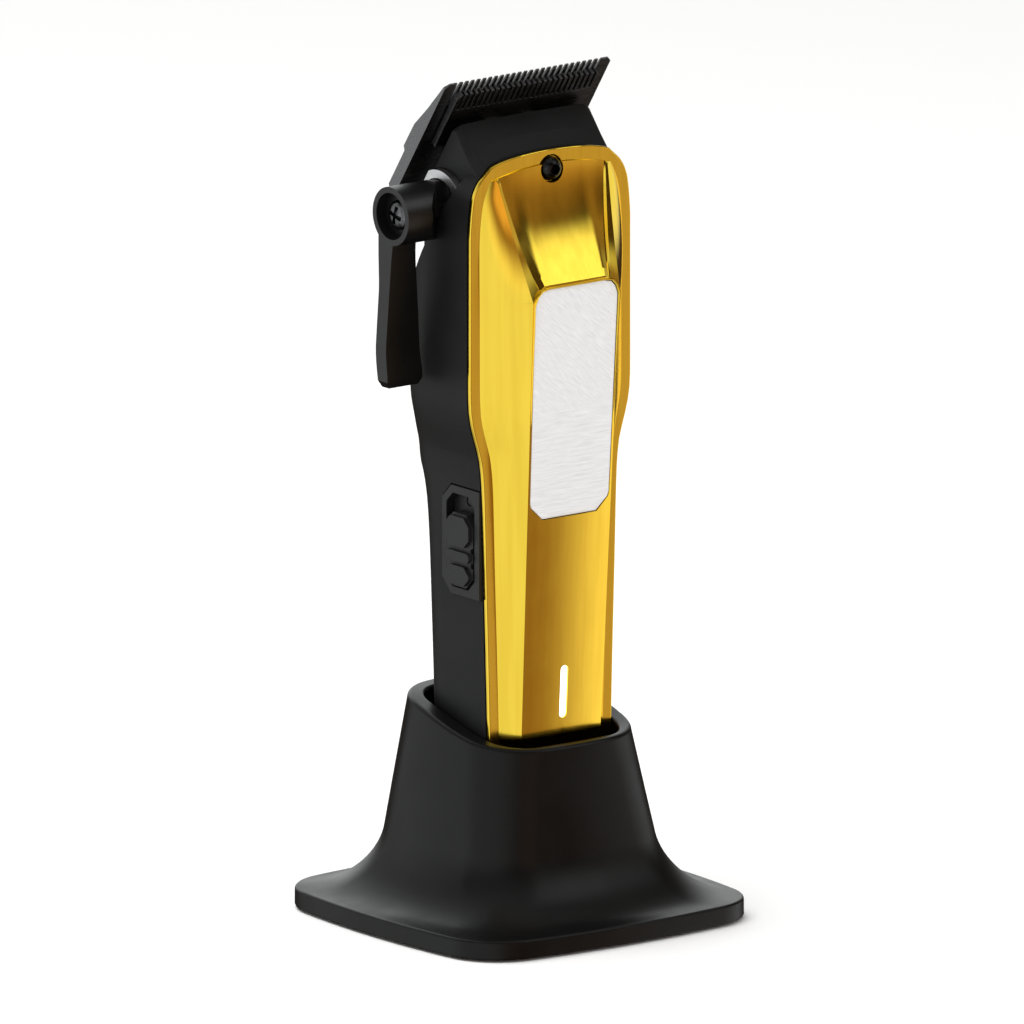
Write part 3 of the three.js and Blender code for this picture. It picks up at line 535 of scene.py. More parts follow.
def pocket_ring(grow, height):
    """Ring of the cup's inside, which reaches further forwards than back."""
    ring = square_ring(CUP_HALF + grow, 0.3, CUP_RADIUS + grow, 0)
    return at_height([(x, y * CUP_REACH if y < 0 else y) for x, y, _ in ring], height)


def stand_outside():
    """Rings up the outside of the stand, over its rim and down into the cup."""
    rings = [square_ring(FOOT_HALF - inset, FOOT_BOW, FOOT_RADIUS - inset, z)
             for inset, z in ((0.45, 0.5), (0.12, 0.62), (0, 0.95), (0, 4.3), (0.1, 4.62), (0.35, 4.87),
                              (0.7, 4.98))]
    rings += [flare_ring(t) for t in (0.006, 0.03, 0.06, 0.1, 0.15, 0.2, 0.26, 0.32, 0.39, 0.46, 0.53,
                                      0.61, 0.69, 0.77, 0.85, 0.93)]
    rings += [cup_ring(i / 10) for i in range(11)]
    quarter = [i / 6 * math.pi / 2 for i in range(7)]
    for a in quarter[1:]:
        inset = RIM_ROUND * (1 - math.cos(a))
        rings.append(square_ring(RIM_HALF - inset, 0.5, CORNER - inset,
                                 lambda y, a=a: rim_height(y) - RIM_ROUND * (1 - math.sin(a))))
    for a in quarter:
        rings.append(pocket_ring(LIP_ROUND * (1 - math.sin(a)),
                                 lambda y, a=a: rim_height(y) - LIP_ROUND * (1 - math.cos(a))))
    rings += [pocket_ring(0, z) for z in (36, 28, 20, CUP_FLOOR + 0.9)]
    return rings + [pocket_ring(-inset, z) for inset, z in ((0.3, CUP_FLOOR + 0.25), (0.9, CUP_FLOOR))]


def stand_body():
    # hollow of the foot: the seat of the base plate, then the inside of the flare
    belly = [square_ring(40.2, FOOT_BOW, 13, z) for z in (0.0, 3.2)]
    belly += [square_ring(36, FOOT_BOW, 13, 3.21)]
    belly += [flare_ring(t, 2.4 + 1.2 * (1 - t)) for t in (0.12, 0.2, 0.3, 0.4, 0.5, 0.6)]
    shell = cut(loft(stand_outside()), loft(belly))
    corners = [(-BOSS_X, -BOSS_X), (BOSS_X, -BOSS_X), (BOSS_X, BOSS_X), (-BOSS_X, BOSS_X)]
    shell = join(shell, *[rod(BOSS_RADIUS, (x, y, BOSS_BOTTOM), (x, y, BOSS_TOP), 32) for x, y in corners],
                 box(-9.5, 9.5, 22, 31.5, 4, 13.2))
    pocket = octagon(-INLET_HALF, INLET_HALF, INLET_LOW, INLET_HIGH, INLET_CHAMFER)
    shell = cut(shell, prism(pocket, 20, (-1, 0, 0), (0, 0, 1), (0, 30.5, 0)),
                box(-4.8, 4.8, 20, 31, 7.1, 10.9),
                *[rod(PIN_HOLE, (x, PIN_Y, 10), (x, PIN_Y, 20), 32) for x in (-PIN_X, PIN_X)],
                *[rod(SCREW_HOLE, (x, y, 0), (x, y, BOSS_TOP - 1.2), 24) for x, y in corners])
    return soften(shell, 0.25, 2, 32, 0.3)


# ---- outline of the clipper ---------------------------------------------------------------

BODY_BOTTOM, SEAM_Y = 18, -10.7
# height, half width, back, corner radius
STATIONS = [
    (18, 16.9, 15.6, 11), (30, 17.25, 16.2, 12), (57, 17.85, 16.4, 12), (85, 18.65, 16.7, 12),
    (97, 18.95, 17.3, 12), (103, 19.15, 18.6, 12.5), (107, 19.4, 20, 13), (111, 19.9, 20.5, 14),
    (115, 21, 20.8, 15), (119, 22.2, 20.9, 16), (123, 22.9, 20.9, 16), (128, 23.1, 20.9, 16),
    (154, 23.1, 20, 16), (190, 23.1, 19.5, 16)]
# the round crown of the cover, then height and half width on the way up to it
CROWN_Z, CROWN_HALF, CROWN_RISE, COVER_TOP = 179.6, 17.65, 2.7, 182.3
SHOULDER = [(164, 23.1), (168, 22.85), (172.5, 22.3), (174.8, 21.6), (177.2, 20.2), (CROWN_Z, CROWN_HALF)]
# the blade's own axes: down its length from the tip, and out of its skin
BLADE_LEAN = math.radians(34)
TIP = Vector((0, -4.66, 199.16))
DOWN = Vector((0, math.sin(BLADE_LEAN), -math.cos(BLADE_LEAN)))
SKIN = Vector((0, math.cos(BLADE_LEAN), math.sin(BLADE_LEAN)))
# how far under the skin the head and the wide body are cut off
NOSE_T, SHOULDER_T = -3.0, -13.5
HEAD_HALF, HEAD_EDGE, HEAD_BACK, HEAD_LOW = 17.65, 19.4, 17.8, 140
LEVER_Y, LEVER_Z = 2.7, 168.6
PLATE_RADIUS, PLATE_GAP, PLATE_INNER, SPINDLE_HOLE = 9.0, 0.3, -18.2, 2.9


def cover_half(z):
    if z <= SHOULDER[0][0]:
        return spline(STATIONS, z)[0]
    if z > CROWN_Z:
        return CROWN_HALF * math.sqrt(clamp(1 - ((z - CROWN_Z) / CROWN_RISE) ** 1.75))
    return spline(SHOULDER, z)[0]


def blade_box(x0, x1, s0, s1, t0, t1):
    outline = [(s0, t0), (s1, t0), (s1, t1), (s0, t1)]
    return prism(outline, x1 - x0, DOWN, SKIN, Vector((x0, 0, 0)) + TIP)


def blade_slab(t0, t1=60):
    """Everything between two planes that lie along the blade."""
    return blade_box(-40, 40, -60, 90, t0, t1)


def on_axis(x):
    """Point on the lever's axis."""
    return (x, LEVER_Y, LEVER_Z)


def back_ring(half, back, radius, z, front):
    ring = [(half, front, z), (half, lerp(front, back - radius, 0.5), z)]
    for i in range(21):
        a = i / 20 * math.pi / 2
        # a corner slightly fuller than a plain arc
        c, s = math.cos(a) ** 0.9, math.sin(a) ** 0.9
        ring.append((half - radius + radius * c, back - radius + radius * s, z))
    return ring + [(-x, y, z) for x, y, z in reversed(ring)]


def cover_outline():
    heights = [20.0] + [h for h in range(24, 160, 3)] + [160 + 0.75 * i for i in range(27)]
    heights += [180.2, 180.7, 181.1, 181.5, 181.8, 182.0, 182.15, 182.25]
    side = [(cover_half(z), z) for z in heights]
    return side + [(0, COVER_TOP)] + [(-x, z) for x, z in reversed(side)]


def housing_loft(front):
    return loft([back_ring(*spline(STATIONS, z), z, front) for z in range(BODY_BOTTOM, 192, 2)])


def head_block(front):
    """The narrow head: two sloping facets over a bowed crease, chamfers at both sides."""
    rings = []
    for x in [-HEAD_EDGE] + [lerp(-HEAD_HALF, HEAD_HALF, i / 16) for i in range(17)] + [HEAD_EDGE]:
        bow = (x / 17.2) ** 2
        profile = [(front, 181.2 - 1.5 * bow), (-6.4, 185.35 - 1.25 * bow), (-1.22, 188.95 - 0.3 * bow),
                   (HEAD_BACK, 194)]
        if abs(x) == HEAD_EDGE:
            profile = [(front, 176.6), (-6.2, 181.0), (-1.2, 187.2), (HEAD_BACK, 192)]
        rings.append([(x, y, z) for y, z in [(front, HEAD_LOW)] + profile + [(HEAD_BACK, HEAD_LOW)]])
    return soften(loft(rings), 0.4, 2, 7, 0.05)


def housing_body():
    front = SEAM_Y + 0.15
    outline = [(x, BODY_BOTTOM - 1 if z < 21 else z) for x, z in cover_outline()]
    wide = keep(cut(housing_loft(front), blade_slab(SHOULDER_T)),
                prism(outline, 60, (1, 0, 0), (0, 0, 1), (0, 30, 0)))
    column = loft([back_ring(20.4, HEAD_BACK, 14, z, -40) for z in (130, 210)])
    # the recess for the lever's plate is cut before the head is joined, so that no faces coincide
    head = cut(keep(head_block(front), column), blade_slab(NOSE_T),
               rod(PLATE_RADIUS + PLATE_GAP, on_axis(-30), on_axis(PLATE_INNER + PLATE_GAP), 72))
    floor_ring = [back_ring(*(v - 2.2 for v in spline(STATIONS, 20)), z, SEAM_Y - 3) for z in (10, 24)]
    body = cut(join(wide, head), rod(SPINDLE_HOLE, on_axis(-30), on_axis(-10), 32), loft(floor_ring),
               blade_box(-9.5, 9.5, 13.5, 26, -7, 0), switch_opening(0.3, -25, -14),
               *[blade_box(x - 1.8, x + 1.8, 27, 33, -12, 3) for x in (-9, 9)],
               *[rod(2.7, (0, 8, z), (0, 30, z), 40) for z in (29, 111)])
    return soften(body, 0.45, 3, 24, 0.25)


# ---- switch -------------------------------------------------------------------------------

SLIDER_CHAMFER, GROOVE_RADIUS = 2.6, 0.75
POST_Y, POST_Z = -3.6, 100.0


def on_side(outline, x0, x1):
    return prism(outline, x1 - x0, (0, 1, 0), (0, 0, 1), (x0, 0, 0))


def chamfered_box(x0, x1, y0, y1, z0, z1, chamfer):
    return on_side(octagon(y0, y1, z0, z1, chamfer), x0, x1)


def switch_opening(grow, x0, x1):
    """Plate of the surround's outline, which is square towards the seam."""
    y0, y1, z0, z1, chamfer = SEAM_Y + 0.2 - grow, 3.6 + grow, 78 - grow, 103.6 + grow, 3.4
    return on_side([(y0, z0), (y1 - chamfer, z0), (y1, z0 + chamfer), (y1, z1 - chamfer),
                    (y1 - chamfer, z1), (y0, z1)], x0, x1)


def surround_frame(x0, x1):
    return cut(switch_opening(0, x0, x1), chamfered_box(-30, -10, -8.7, 2, 79.7, 101.8, 2.4))


def switch_surround():
    """Frame round the slider, with a floor that has a slot for its stem and a sunk post above it."""
    surround = surround_frame(-19.5, -17)
    floor = cut(switch_opening(-0.1, -16.95, -16.25), chamfered_box(-18, -15, -5.4, -1.4, 87.6, 96.4, 0.5),
                rod(1.3, (-18, POST_Y, POST_Z), (-16.6, POST_Y, POST_Z), 32))
    post = rod(0.85, (-16.9, POST_Y, POST_Z), (-16.4, POST_Y, POST_Z), 32)
    return soften(join(surround, surround_frame(-17.1, -16.9), floor, post), 0.22, 3)


def switch_slider():
    """Plate with three pads, two thumb grooves and a stem at its back."""
    pads = chamfered_box(-19.7, -17.2, -8.4, 1.7, 80.1, 97.4, SLIDER_CHAMFER)
    for z0, z1, chamfer in ((80.7, 85.2, 1.9), (86.3, 88.6, 0.7), (89.8, 96.8, 1.9)):
        pads = join(pads, chamfered_box(-20.6, -19.2, -7.8, 1.1, z0, z1, chamfer))
    for z in (85.75, 89.2):
        pads = cut(pads, rod(GROOVE_RADIUS, (-22, -8.2, z), (-18.4, -8.2, z), 24))
    return soften(join(pads, box(-17.6, -15.7, -5, -1.8, 88, 92)), 0.25, 3)


# ---- front cover ----------------------------------------------------------------------------

FACET_Y, FACET_Z, FACET_LEAN = -16.12, 48.3, 0.0572
SCOOP_START, SCOOP_TOP = 152.9, 177.3
RIDGE_LOW, RIDGE_HIGH = 12.45, 15.9
RAISED_FOOT_Y, RAISED_BACK_Y = SEAM_Y - 0.7, SEAM_Y + 0.1
SIDE_STEPS, FLOOR_STEPS, EDGE_STEP = 6, 28, 0.02
# places across the floor between the strips; the first and last lie just inside them
FLOOR_SHARES = ([1 - EDGE_STEP] + [1 - 2 * i / FLOOR_STEPS for i in range(2, FLOOR_STEPS - 1)]
                + [EDGE_STEP - 1])
PANEL_LOW, PANEL_HIGH, PANEL_CORNER = 49.2, 103.8, 3.6
NOTCH_RADIUS, NOTCH_Z = 3.2, 177.75
FACE_UP = Vector((0, -FACET_LEAN, 1)).normalized()
FACE_OUT = Vector((1, 0, 0)).cross(FACE_UP)


def face_y(z):
    return FACET_Y - FACET_LEAN * (z - FACET_Z)


def crease_half(z):
    return lerp(11.4, 12.5, (z - 48) / 104)


def on_face(outline, start, end):
    origin = Vector((0, FACET_Y, FACET_Z)) + FACE_OUT * start
    return prism(outline, end - start, (1, 0, 0), FACE_UP, origin)


def face_point(x, along, out):
    return Vector((x, FACET_Y, FACET_Z)) + FACE_UP * along + FACE_OUT * out


def panel_outline(grow):
    low, high, z0, z1, c = 11.1 + grow, 11.65 + grow, PANEL_LOW - grow, PANEL_HIGH + grow, PANEL_CORNER
    half = [(low - c, z0), (low - c * 0.1, z0 + c * 0.85), (low, z0 + c * 1.15), (high, z1 - c),
            (high - c * 0.22, z1 - c * 0.45), (high - c * 0.55, z1 - c * 0.12), (high - c * 1.1, z1)]
    return half + [(-x, z) for x, z in reversed(half)]


def stadium(half, z0, z1):
    top = []
    for i in range(13):
        x, z = polar(half, i * math.pi / 12)
        top.append((x, z1 - half + z))
    return top + [(-x, z0 + z1 - z) for x, z in top]


def cover_section(x_foot, ridge, strip, floor, z_at, swell=0.22):
    """One ring of the raised front, foot to foot over both ridges, then round the back."""
    half = [(x_foot, RAISED_FOOT_Y)]
    for i in range(1, SIDE_STEPS):
        t = i / SIDE_STEPS
        bulge = swell * math.sin(math.pi * t)
        half.append((lerp(x_foot, ridge[0], t) + bulge * 0.85,
                     lerp(RAISED_FOOT_Y, ridge[1], t) - bulge * 0.5))
    half += [ridge, strip]
    ring = [(x, y, z_at(x)) for x, y in half]
    ring += [(x, floor(x), z_at(x)) for x in (strip[0] * share for share in FLOOR_SHARES)]
    ring += [(-x, y, z_at(x)) for x, y in reversed(half)]
    return ring + [(side * x_foot, RAISED_BACK_Y, z_at(x_foot)) for side in (-1, 1)]


def lower_section(z, tuck=0.0):
    """Ring below the scoop: a flat front between two ridges. Tuck draws it in at its lower end."""
    x_foot = cover_half(z) - 2.3 - tuck * 0.35
    xr, yr = crease_half(z) - tuck * 0.35, face_y(z) + tuck
    strip = (xr - 0.35, yr - 0.03)
    return cover_section(max(x_foot, xr + 0.25), (xr, yr), strip,
                         lambda x: yr - 0.03 - 0.42 * (1 - (x / strip[0]) ** 2), lambda x: z)


def scoop_drop(x):
    """How far the lower edge of the scoop falls towards its sides."""
    return 0.95 * clamp(abs(x) - 8.9, 0.0, 3.7)


def scoop_section(w):
    """Ring of the scoop, from its lower edge (w = 0) to its top (w = 1)."""
    def z_at(x):
        start = SCOOP_START - scoop_drop(x)
        top = SCOOP_TOP + 1.9 * (1 - (x / 16) ** 2)
        return lerp(start, top, w)
    xr = lerp(RIDGE_LOW, RIDGE_HIGH, w)
    z_ridge = z_at(xr)
    x_foot = max(cover_half(min(z_ridge, 178.4)) - 2.3, xr + 0.3)
    yr = lerp(face_y(149.4), -12.6, w) + 0.35 * math.sin(math.pi * w)
    width = lerp(2.3, 0.55, w ** 0.8)
    strip = (xr - width, yr + 0.22 * width)
    y_mid = -21.2 + 8.75 * (1 - (1 - w) ** 1.75)
    # the floor starts with a small step below the strip
    y_edge = strip[1] + 0.15 + 0.4 * max(y_mid - strip[1], 0)

    def floor(x):
        return lerp(y_mid, y_edge, abs(x / strip[0]) ** 2.6)
    swell = 0.22 + 0.7 * math.sin(math.pi * w ** 0.8)
    return cover_section(x_foot, (xr, yr), strip, floor, z_at, swell)


def step_section(z_start):
    """Ring just below the scoop, whose height follows the scoop's lower edge."""
    z = z_start - scoop_drop(RIDGE_LOW)
    ring = lower_section(z)
    front = [(x, y, z_start - scoop_drop(x)) for x, y, _ in ring[:-2]]
    return front + [(x, y, z) for x, y, _ in ring[-2:]]


def split_caps(obj):
    """Cuts the many-sided end faces into triangles, so that they are flat."""
    bm = bmesh.new()
    bm.from_mesh(obj.data)
    bmesh.ops.triangulate(bm, faces=[f for f in bm.faces if len(f.verts) > 4])
    bmesh.ops.recalc_face_normals(bm, faces=bm.faces)
    bm.to_mesh(obj.data)
    bm.free()
    return obj


def screw_notch():
    return rod(NOTCH_RADIUS, (0, -30, NOTCH_Z), (0, SEAM_Y - 0.6, NOTCH_Z), 64)


def panel_rim():
    """Raised lip round the insert, which sinks into the gold below half height."""
    loops = []
    # how far the lip stands outside the insert, and out of the face
    for grow, out in ((0.75, -0.4), (0.75, 0.42), (0.65, 0.58), (0.42, 0.56), (0.3, 0.15), (0.3, -1.0)):
        loop = []
        for x, z in panel_outline(grow):
            rise = smooth((z - 62) / 36)
            loop.append(face_point(x, z, out * rise - 0.35 * (1 - rise)))
        loops.append(loop)
    count, faces = len(loops[0]), []
    for row in range(len(loops)):
        following = (row + 1) % len(loops)
        for i in range(count):
            j = (i + 1) % count
            faces.append([row * count + i, row * count + j, following * count + j, following * count + i])
    return mesh_object("rim", [p for loop in loops for p in loop], faces)


def gold_cover():
    tucked = [(44.1, 1.3), (44.18, 0.75), (44.4, 0.35), (44.75, 0.1), (45.2, 0.0)]
    rings = [lower_section(z, tuck) for z, tuck in tucked]
    rings += [lower_section(z) for z in [50, 54] + list(range(58, 147, 2))]
    rings += [step_section(SCOOP_START - below) for below in (0.55, 0.02)]
    rings += [scoop_section(w) for w in (0.0, 0.03, 0.07)] + [scoop_section(i / 26) for i in range(3, 27)]
    raised = split_caps(loft(rings))
    flange = prism(cover_outline(), 1.1, (1, 0, 0), (0, 0, 1), (0, SEAM_Y - 0.15, 0))
    flange = soften(cut(flange, screw_notch()), 0.3, 3, 30, 0.1)
    # one cut at a time: together they can turn the notch inside out
    raised = cut(raised, on_face(panel_outline(0.3), -1.5, 4))
    raised = cut(raised, on_face(stadium(1.06, 0.62, 13.18), -9, 4))
    raised = soften(cut(raised, screw_notch()), 0.2, 2, 17, 0.15)
    return merge(raised, flange, panel_rim())


def panel_plate():
    """The insert, crowned at its edges, with level ribs that fade out half way up."""
    rows, columns = 190, 10
    verts, faces = [], []
    for r in range(rows + 1):
        z = lerp(49.26, 103.74, r / rows)
        limit = panel_width(z)
        for c in range(columns + 1):
            side = 2 * c / columns - 1
            x = limit * side
            rib = 0.05 * math.sin(TURN * z / 1.2 + 0.35 * math.sin(x * 0.5)) * (1 - smooth((z - 68) / 14))
            near = min(1.0, (1 - abs(side)) * 6, (z - PANEL_LOW) * 2, (PANEL_HIGH - z) * 2)
            verts.append(face_point(x, z, 0.02 + 0.1 * smooth(near) + rib * smooth(near)))
    for r in range(rows):
        for c in range(columns):
            a = r * (columns + 1) + c
            faces.append([a, a + 1, a + columns + 2, a + columns + 1])
    top = mesh_object("ribs", verts, faces)
    close_downwards(top, FACE_OUT * -0.3)
    return merge(soften(on_face(panel_outline(0.18), -1.2, 0.02), 0.12, 2), top)


def panel_width(z):
    """Half width of the insert at a height along the face."""
    outline = panel_outline(0.06)
    side = outline[:len(outline) // 2]
    for (x0, z0), (x1, z1) in zip(side, side[1:]):
        if z0 <= z <= z1 and z1 > z0:
            return lerp(x0, x1, (z - z0) / (z1 - z0))
    return side[0][0] if z < side[0][1] else side[-1][0]


def close_downwards(obj, offset):
    """Turns an open sheet into a thin closed slab."""
    bm = bmesh.new()
    bm.from_mesh(obj.data)
    extruded = bmesh.ops.extrude_face_region(bm, geom=bm.faces[:] + bm.edges[:] + bm.verts[:])
    moved = [g for g in extruded["geom"] if isinstance(g, bmesh.types.BMVert)]
    bmesh.ops.translate(bm, verts=moved, vec=offset)
    bmesh.ops.recalc_face_normals(bm, faces=bm.faces)
    bm.to_mesh(obj.data)
    bm.free()


def glow_bar():
    return soften(on_face(stadium(1.0, 0.68, 13.12), -3.4, 0.3), 0.3, 4)


# ---- screws -----------------------------------------------------------------------------------

HEXAGON, CROSS = 6, 4


def dome_screw(radius, height, shank_radius, shank, socket, kind, start, axis):
    """Round head with a rolled edge and a hexagon or cross socket, on a shank."""
    profile = [(0, 0), (shank_radius * 0.7, 0), (shank_radius, 0.4), (shank_radius, shank),
               (radius * 0.94, shank), (radius, shank + 0.12)]
    profile += [(radius * math.cos(a) ** 0.8, shank + 0.12 + (height - 0.12) * math.sin(a))
                for a in (i / 9 * math.pi / 2 * 0.92 for i in range(1, 10))]
    top = profile[-1][1]
    profile += [(radius * 0.3, top + 0.01), (0, top + 0.01)]
    screw = turned(profile, start, axis)
    mouth = Vector(start) + Vector(axis).normalized() * (top - height * 0.75)
    x, y = across(axis)
    if kind == HEXAGON:
        outline, edge = circle(socket, 6), 0.08
    else:
        # every third of twelve points is drawn in, which leaves the four arms
        outline = [polar(socket * (0.3 if i % 3 == 1 else 1), TURN * i / 12) for i in range(12)]
        edge = 0.06
    return soften(cut(screw, prism(outline, 5, x, y, mouth)), edge, 2)


# ---- lever --------------------------------------------------------------------------------------

LEVER_FACE, HUB_SHOULDER, HUB_END, HUB_RADIUS = -35.0, -23.5, -19.3, 6.9
LEVER_BORE_END, ARM_STEPS = -25.3, 27
# height, front, back, inner edge
ARM = [(127.5, 4.4, 7.0, -25.8), (129, 3.9, 7.6, -24.9), (136, 4.5, 8.4, -25.3), (144, 3.8, 7.8, -26.2),
       (152, 3.1, 7.2, -27.2), (160, 2.2, 7.4, -28.2), (168, 0.5, 7.4, -28.8)]


def taper_lever():
    """Hub with a deep eye for its screw, and an arm that widens downwards."""
    hub = rod(HUB_RADIUS, on_axis(LEVER_FACE), on_axis(HUB_SHOULDER), 80)
    rings = []
    for i in range(ARM_STEPS + 1):
        z = lerp(ARM[0][0], ARM[-1][0], i / ARM_STEPS)
        front, back, inner = spline(ARM, z)
        outer = LEVER_FACE + clamp(128.5 - z) * 0.8
        rings.append([(outer, front, z), (inner, front, z), (inner, back, z), (outer, back, z)])
    # beyond its shoulder the hub keeps clear of the housing as the lever turns
    outline = [(6.75, lerp(-75, 97, i / 40)) for i in range(41)] + [(2.2, 169), (2.2, 214)]
    sector = on_side([(LEVER_Y + r * math.cos(math.radians(a)), LEVER_Z + r * math.sin(math.radians(a)))
                      for r, a in outline], HUB_SHOULDER - 1, HUB_END)
    spigot = rod(2.5, on_axis(LEVER_BORE_END), on_axis(-15.6), 40)
    # the hub is cut off obliquely where it faces the housing
    oblique = prism([(HUB_SHOULDER + 1, LEVER_Y - 1), (-28, LEVER_Y - 6.5), (-28, -9), (-15, -9),
                     (-15, LEVER_Y - 1)], 16, (1, 0, 0), (0, 1, 0), (0, 0, LEVER_Z - 8))
    shell = cut(join(hub, loft(rings)), rod(5.5, on_axis(LEVER_FACE - 1), on_axis(LEVER_FACE + 2.9), 64),
                rod(1.6, on_axis(LEVER_FACE), on_axis(LEVER_BORE_END), 32), oblique)
    return soften(join(shell, sector, spigot), 0.4, 3)


def lever_side_plate():
    """Bright cup round the hub's inner end, with a raised rim."""
    plate = cut(rod(PLATE_RADIUS, on_axis(-21.3), on_axis(PLATE_INNER), 80),
                rod(7.0, on_axis(-30), on_axis(-18.9), 64), rod(SPINDLE_HOLE, on_axis(-30), on_axis(-10), 40))
    return soften(keep(plate, blade_slab(SHOULDER_T + 0.3, NOSE_T - 0.3)), 0.2, 2)


# ---- build ------------------------------------------------------------------------------------

place(stand_body(), "stand_body", "stand", "soft_black_plastic", STAND, "stand_shell")
place(housing_body(), "housing_body", "clipper", "soft_black_plastic", HOUSING, "rear_housing")
place(gold_cover(), "gold_cover", "clipper", "gold_metal", GOLD, "front_cover", angle=30)
place(panel_plate(), "panel_plate", "clipper", "brushed_white_panel", PANEL, "insert_panel")
place(glow_bar(), "glow_bar", "clipper", "light_diffuser", GLOW, "light_bar")
place(switch_surround(), "switch_surround", "clipper", "soft_black_plastic", SWITCH, "switch_bezel")
place(switch_slider(), "switch_slider", "power_switch", "soft_black_plastic", SWITCH, "power_switch")
place(dome_screw(2.8, 2.6, 1.4, 6.4, 1.35, HEXAGON, (0, -5, 177.8), (0, -1, 0)), "cap_screw", "clipper",
      "black_blade_steel", DARK_STEEL, "cover_screw")
place(taper_lever(), "lever", "taper_lever", "soft_black_plastic", LEVER_BLACK, "taper_lever")
place(dome_screw(3.5, 1.5, 1.3, 6.6, 2.3, CROSS, on_axis(-25.8), (-1, 0, 0)), "hub_screw", "taper_lever",
      "black_blade_steel", SCREW_STEEL, "lever_screw")
place(lever_side_plate(), "hub_cup", "clipper", "bright_steel", STEEL, "lever_side_plate")

# CAD nodes shown as they are, with their edges rounded: material and width of the rounding
BEVELLED = {
    "fixed_blade": (BLADE, 0.12), "cutter_blade": (BLADE, 0.09), "blade_mount": (MOUNT_STEEL, 0.25),
    "blade_screw_left": (DARK_STEEL, 0.25), "blade_screw_right": (DARK_STEEL, 0.25),
    "rear_screw_lower": (DARK_STEEL, 0.2), "rear_screw_upper": (DARK_STEEL, 0.2),
    **{f"stand_screw_{i}": (STEEL, 0.15) for i in range(1, 5)},
    "stand_base_plate": (STAND, 0.2), "rubber_sole": (RUBBER, 0.2),
    "stand_weight": (STEEL, 0.3), "stand_board": (BOARD, 0.08), "charge_pin_holder": (WHITE, 0.2),
    "charge_pin_left": (BRASS, 0.35), "charge_pin_right": (BRASS, 0.35), "charge_inlet": (STEEL, 0.1),
    "bottom_cap": (HOUSING, 0.2),
    "charge_contact_left": (BRASS, 0.2), "charge_contact_right": (BRASS, 0.2),
    "inner_frame": (WHITE, 0.2), "battery_cell": (SLEEVE, 0.6), "control_board": (BOARD, 0.08),
    "light_led": (WHITE, 0.1), "slide_contact_switch": (STEEL, 0.2), "motor_can": (STEEL, 0.3),
    "motor_end_cap": (WHITE, 0.2), "motor_mount": (WHITE, 0.2), "front_bearing": (BRASS, 0.15),
    "motor_shaft": (STEEL, 0.15), "eccentric_cam": (STEEL, 0.15), "lever_cam": (STEEL, 0.2),
    "drive_yoke": (WHITE, 0.2)}
SLOT_OF = {p["node"]: p["material_slot"] for p in frame["record"]["subparts"]}
BODY_OF = {n: b for b, members in frame["record"]["behaviour"]["bodies"].items() for n in members}
for node, (material, width) in BEVELLED.items():
    piece = soften(from_cad(node), width, 3 if width > 0.3 else 2)
    place(piece, node + "_part", BODY_OF[node], SLOT_OF[node], material, node)


# ---- floor and light ------------------------------------------------------------------------------

FLOOR_HALF, FLOOR_DROP, ROOM_LEVEL = 3.0, 0.00005, 0.045
COOL, AMBER = (0.98, 1.02, 1.02), (1.0, 0.60, 0.38)
# patches of light: azimuth, elevation, inner angle, outer angle, strength, tint
LOBES = [(60, 24, 13, 36, 1.5, COOL), (132, -4, 12, 40, 0.9, COOL), (-165, -8, 22, 62, 1.0, COOL),
         (-18, -16, 18, 38, 1.05, COOL), (-48, 38, 11, 21, 1.5, COOL), (0, 90, 10, 50, 0.6, COOL),
         (96, 40, 10, 42, 0.6, COOL), (-90, 8, 4, 18, 0.8, AMBER), (-57, -22, 10, 30, 0.28, AMBER),
         (-108, -8, 10, 40, 0.3, AMBER), (-40, 2, 8, 24, 0.26, AMBER)]


def add_floor():
    h = FLOOR_HALF
    mesh = bpy.data.meshes.new("floor")
    mesh.from_pydata([(-h, -h, 0), (h, -h, 0), (h, h, 0), (-h, h, 0)], [], [[0, 1, 2, 3]])
    floor = bpy.data.objects.new("floor", mesh)
    bpy.context.scene.collection.objects.link(floor)
    s = Shader("pale_floor")
    s.set(color=(0.93, 0.93, 0.93), rough=0.9, spec=0.1)
    mesh.materials.append(s.material)
    floor.visible_glossy = False
    floor.location.z = -FLOOR_DROP


def direction(azimuth, elevation):
    a, e = math.radians(azimuth), math.radians(elevation)
    return (math.cos(a) * math.cos(e), math.sin(a) * math.cos(e), math.sin(e))


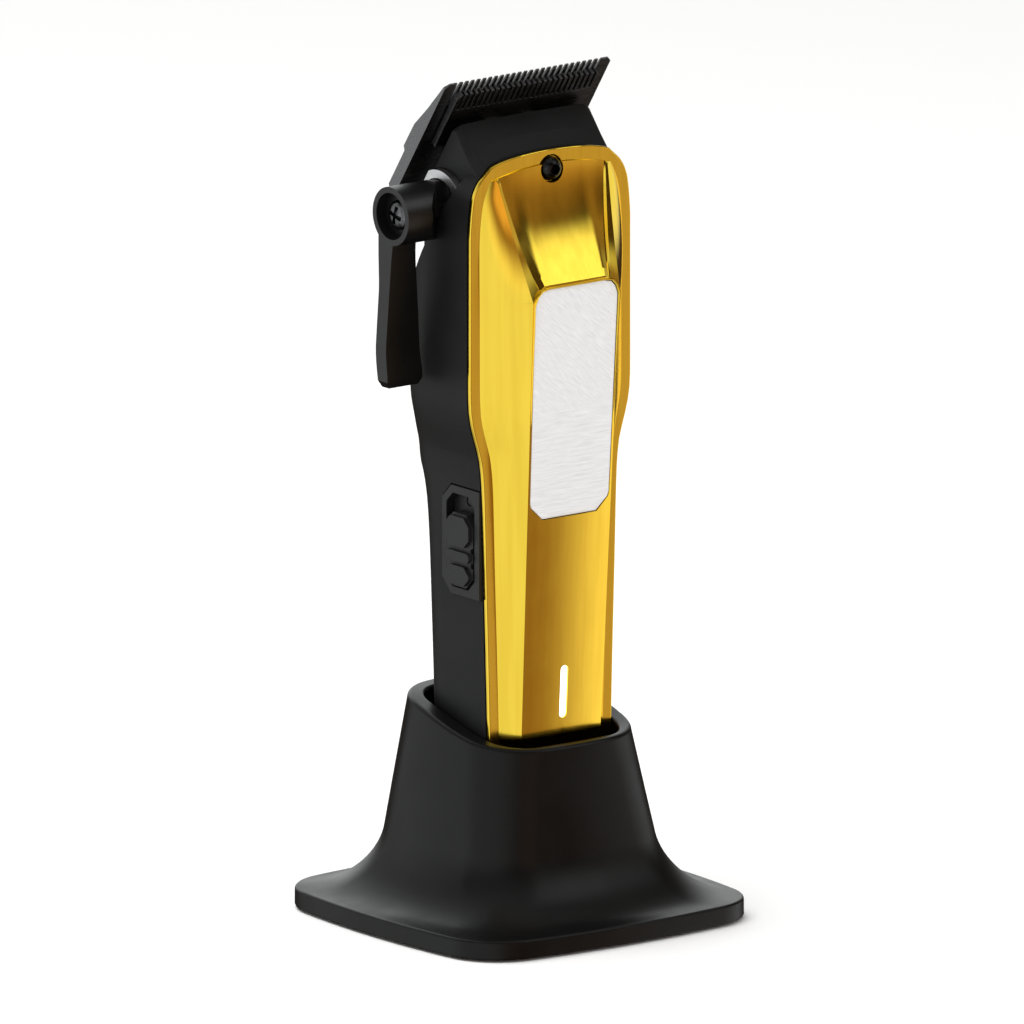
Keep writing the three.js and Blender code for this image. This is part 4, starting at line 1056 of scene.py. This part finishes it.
def add_world():
    """Soft studio: a dim warm room with smooth patches of light in the directions of LOBES."""
    world = bpy.data.worlds.new("studio")
    world.use_nodes = True
    bpy.context.scene.world = world
    tree = world.node_tree
    background = tree.nodes["Background"]
    coords = tree.nodes.new("ShaderNodeTexCoord").outputs["Generated"]
    total = None
    for azimuth, elevation, inner, outer, strength, tint in LOBES:
        dot = tree.nodes.new("ShaderNodeVectorMath")
        dot.operation = "DOT_PRODUCT"
        tree.links.new(coords, dot.inputs[0])
        dot.inputs[1].default_value = direction(azimuth, elevation)
        span = tree.nodes.new("ShaderNodeMapRange")
        span.interpolation_type = "SMOOTHSTEP"
        tree.links.new(dot.outputs["Value"], span.inputs["Value"])
        span.inputs["From Min"].default_value = math.cos(math.radians(outer))
        span.inputs["From Max"].default_value = math.cos(math.radians(inner))
        span.inputs["To Max"].default_value = strength
        colored = tree.nodes.new("ShaderNodeVectorMath")
        colored.operation = "SCALE"
        colored.inputs[0].default_value = tint
        tree.links.new(span.outputs["Result"], colored.inputs["Scale"])
        add = tree.nodes.new("ShaderNodeVectorMath")
        add.operation = "ADD"
        tree.links.new(colored.outputs["Vector"], add.inputs[1])
        if total is None:
            add.inputs[0].default_value = [ROOM_LEVEL * c for c in AMBER]
        else:
            tree.links.new(total, add.inputs[0])
        total = add.outputs["Vector"]
    tree.links.new(total, background.inputs["Color"])
    background.inputs["Strength"].default_value = 1.0


def add_softbox(name, azimuth, elevation, distance, size, power):
    """Square lamp that lights the floor and the insert but is not mirrored in the metal."""
    light = bpy.data.lights.new(name, "AREA")
    light.shape = "RECTANGLE"
    light.size = light.size_y = size
    light.energy = power
    lamp = bpy.data.objects.new(name, light)
    out = Vector(direction(azimuth, elevation))
    lamp.location = Vector((0, 0, 0.1)) + out * distance
    lamp.rotation_euler = out.to_track_quat("Z", "Y").to_euler()
    bpy.context.scene.collection.objects.link(lamp)
    lamp.visible_glossy = False


add_floor()
add_world()
add_softbox("overhead", 150, 70, 1.4, 1.2, 19)
add_softbox("front_fill", -80, 18, 1.3, 0.7, 3.4)
bpy.context.scene.view_settings.view_transform = "Standard"
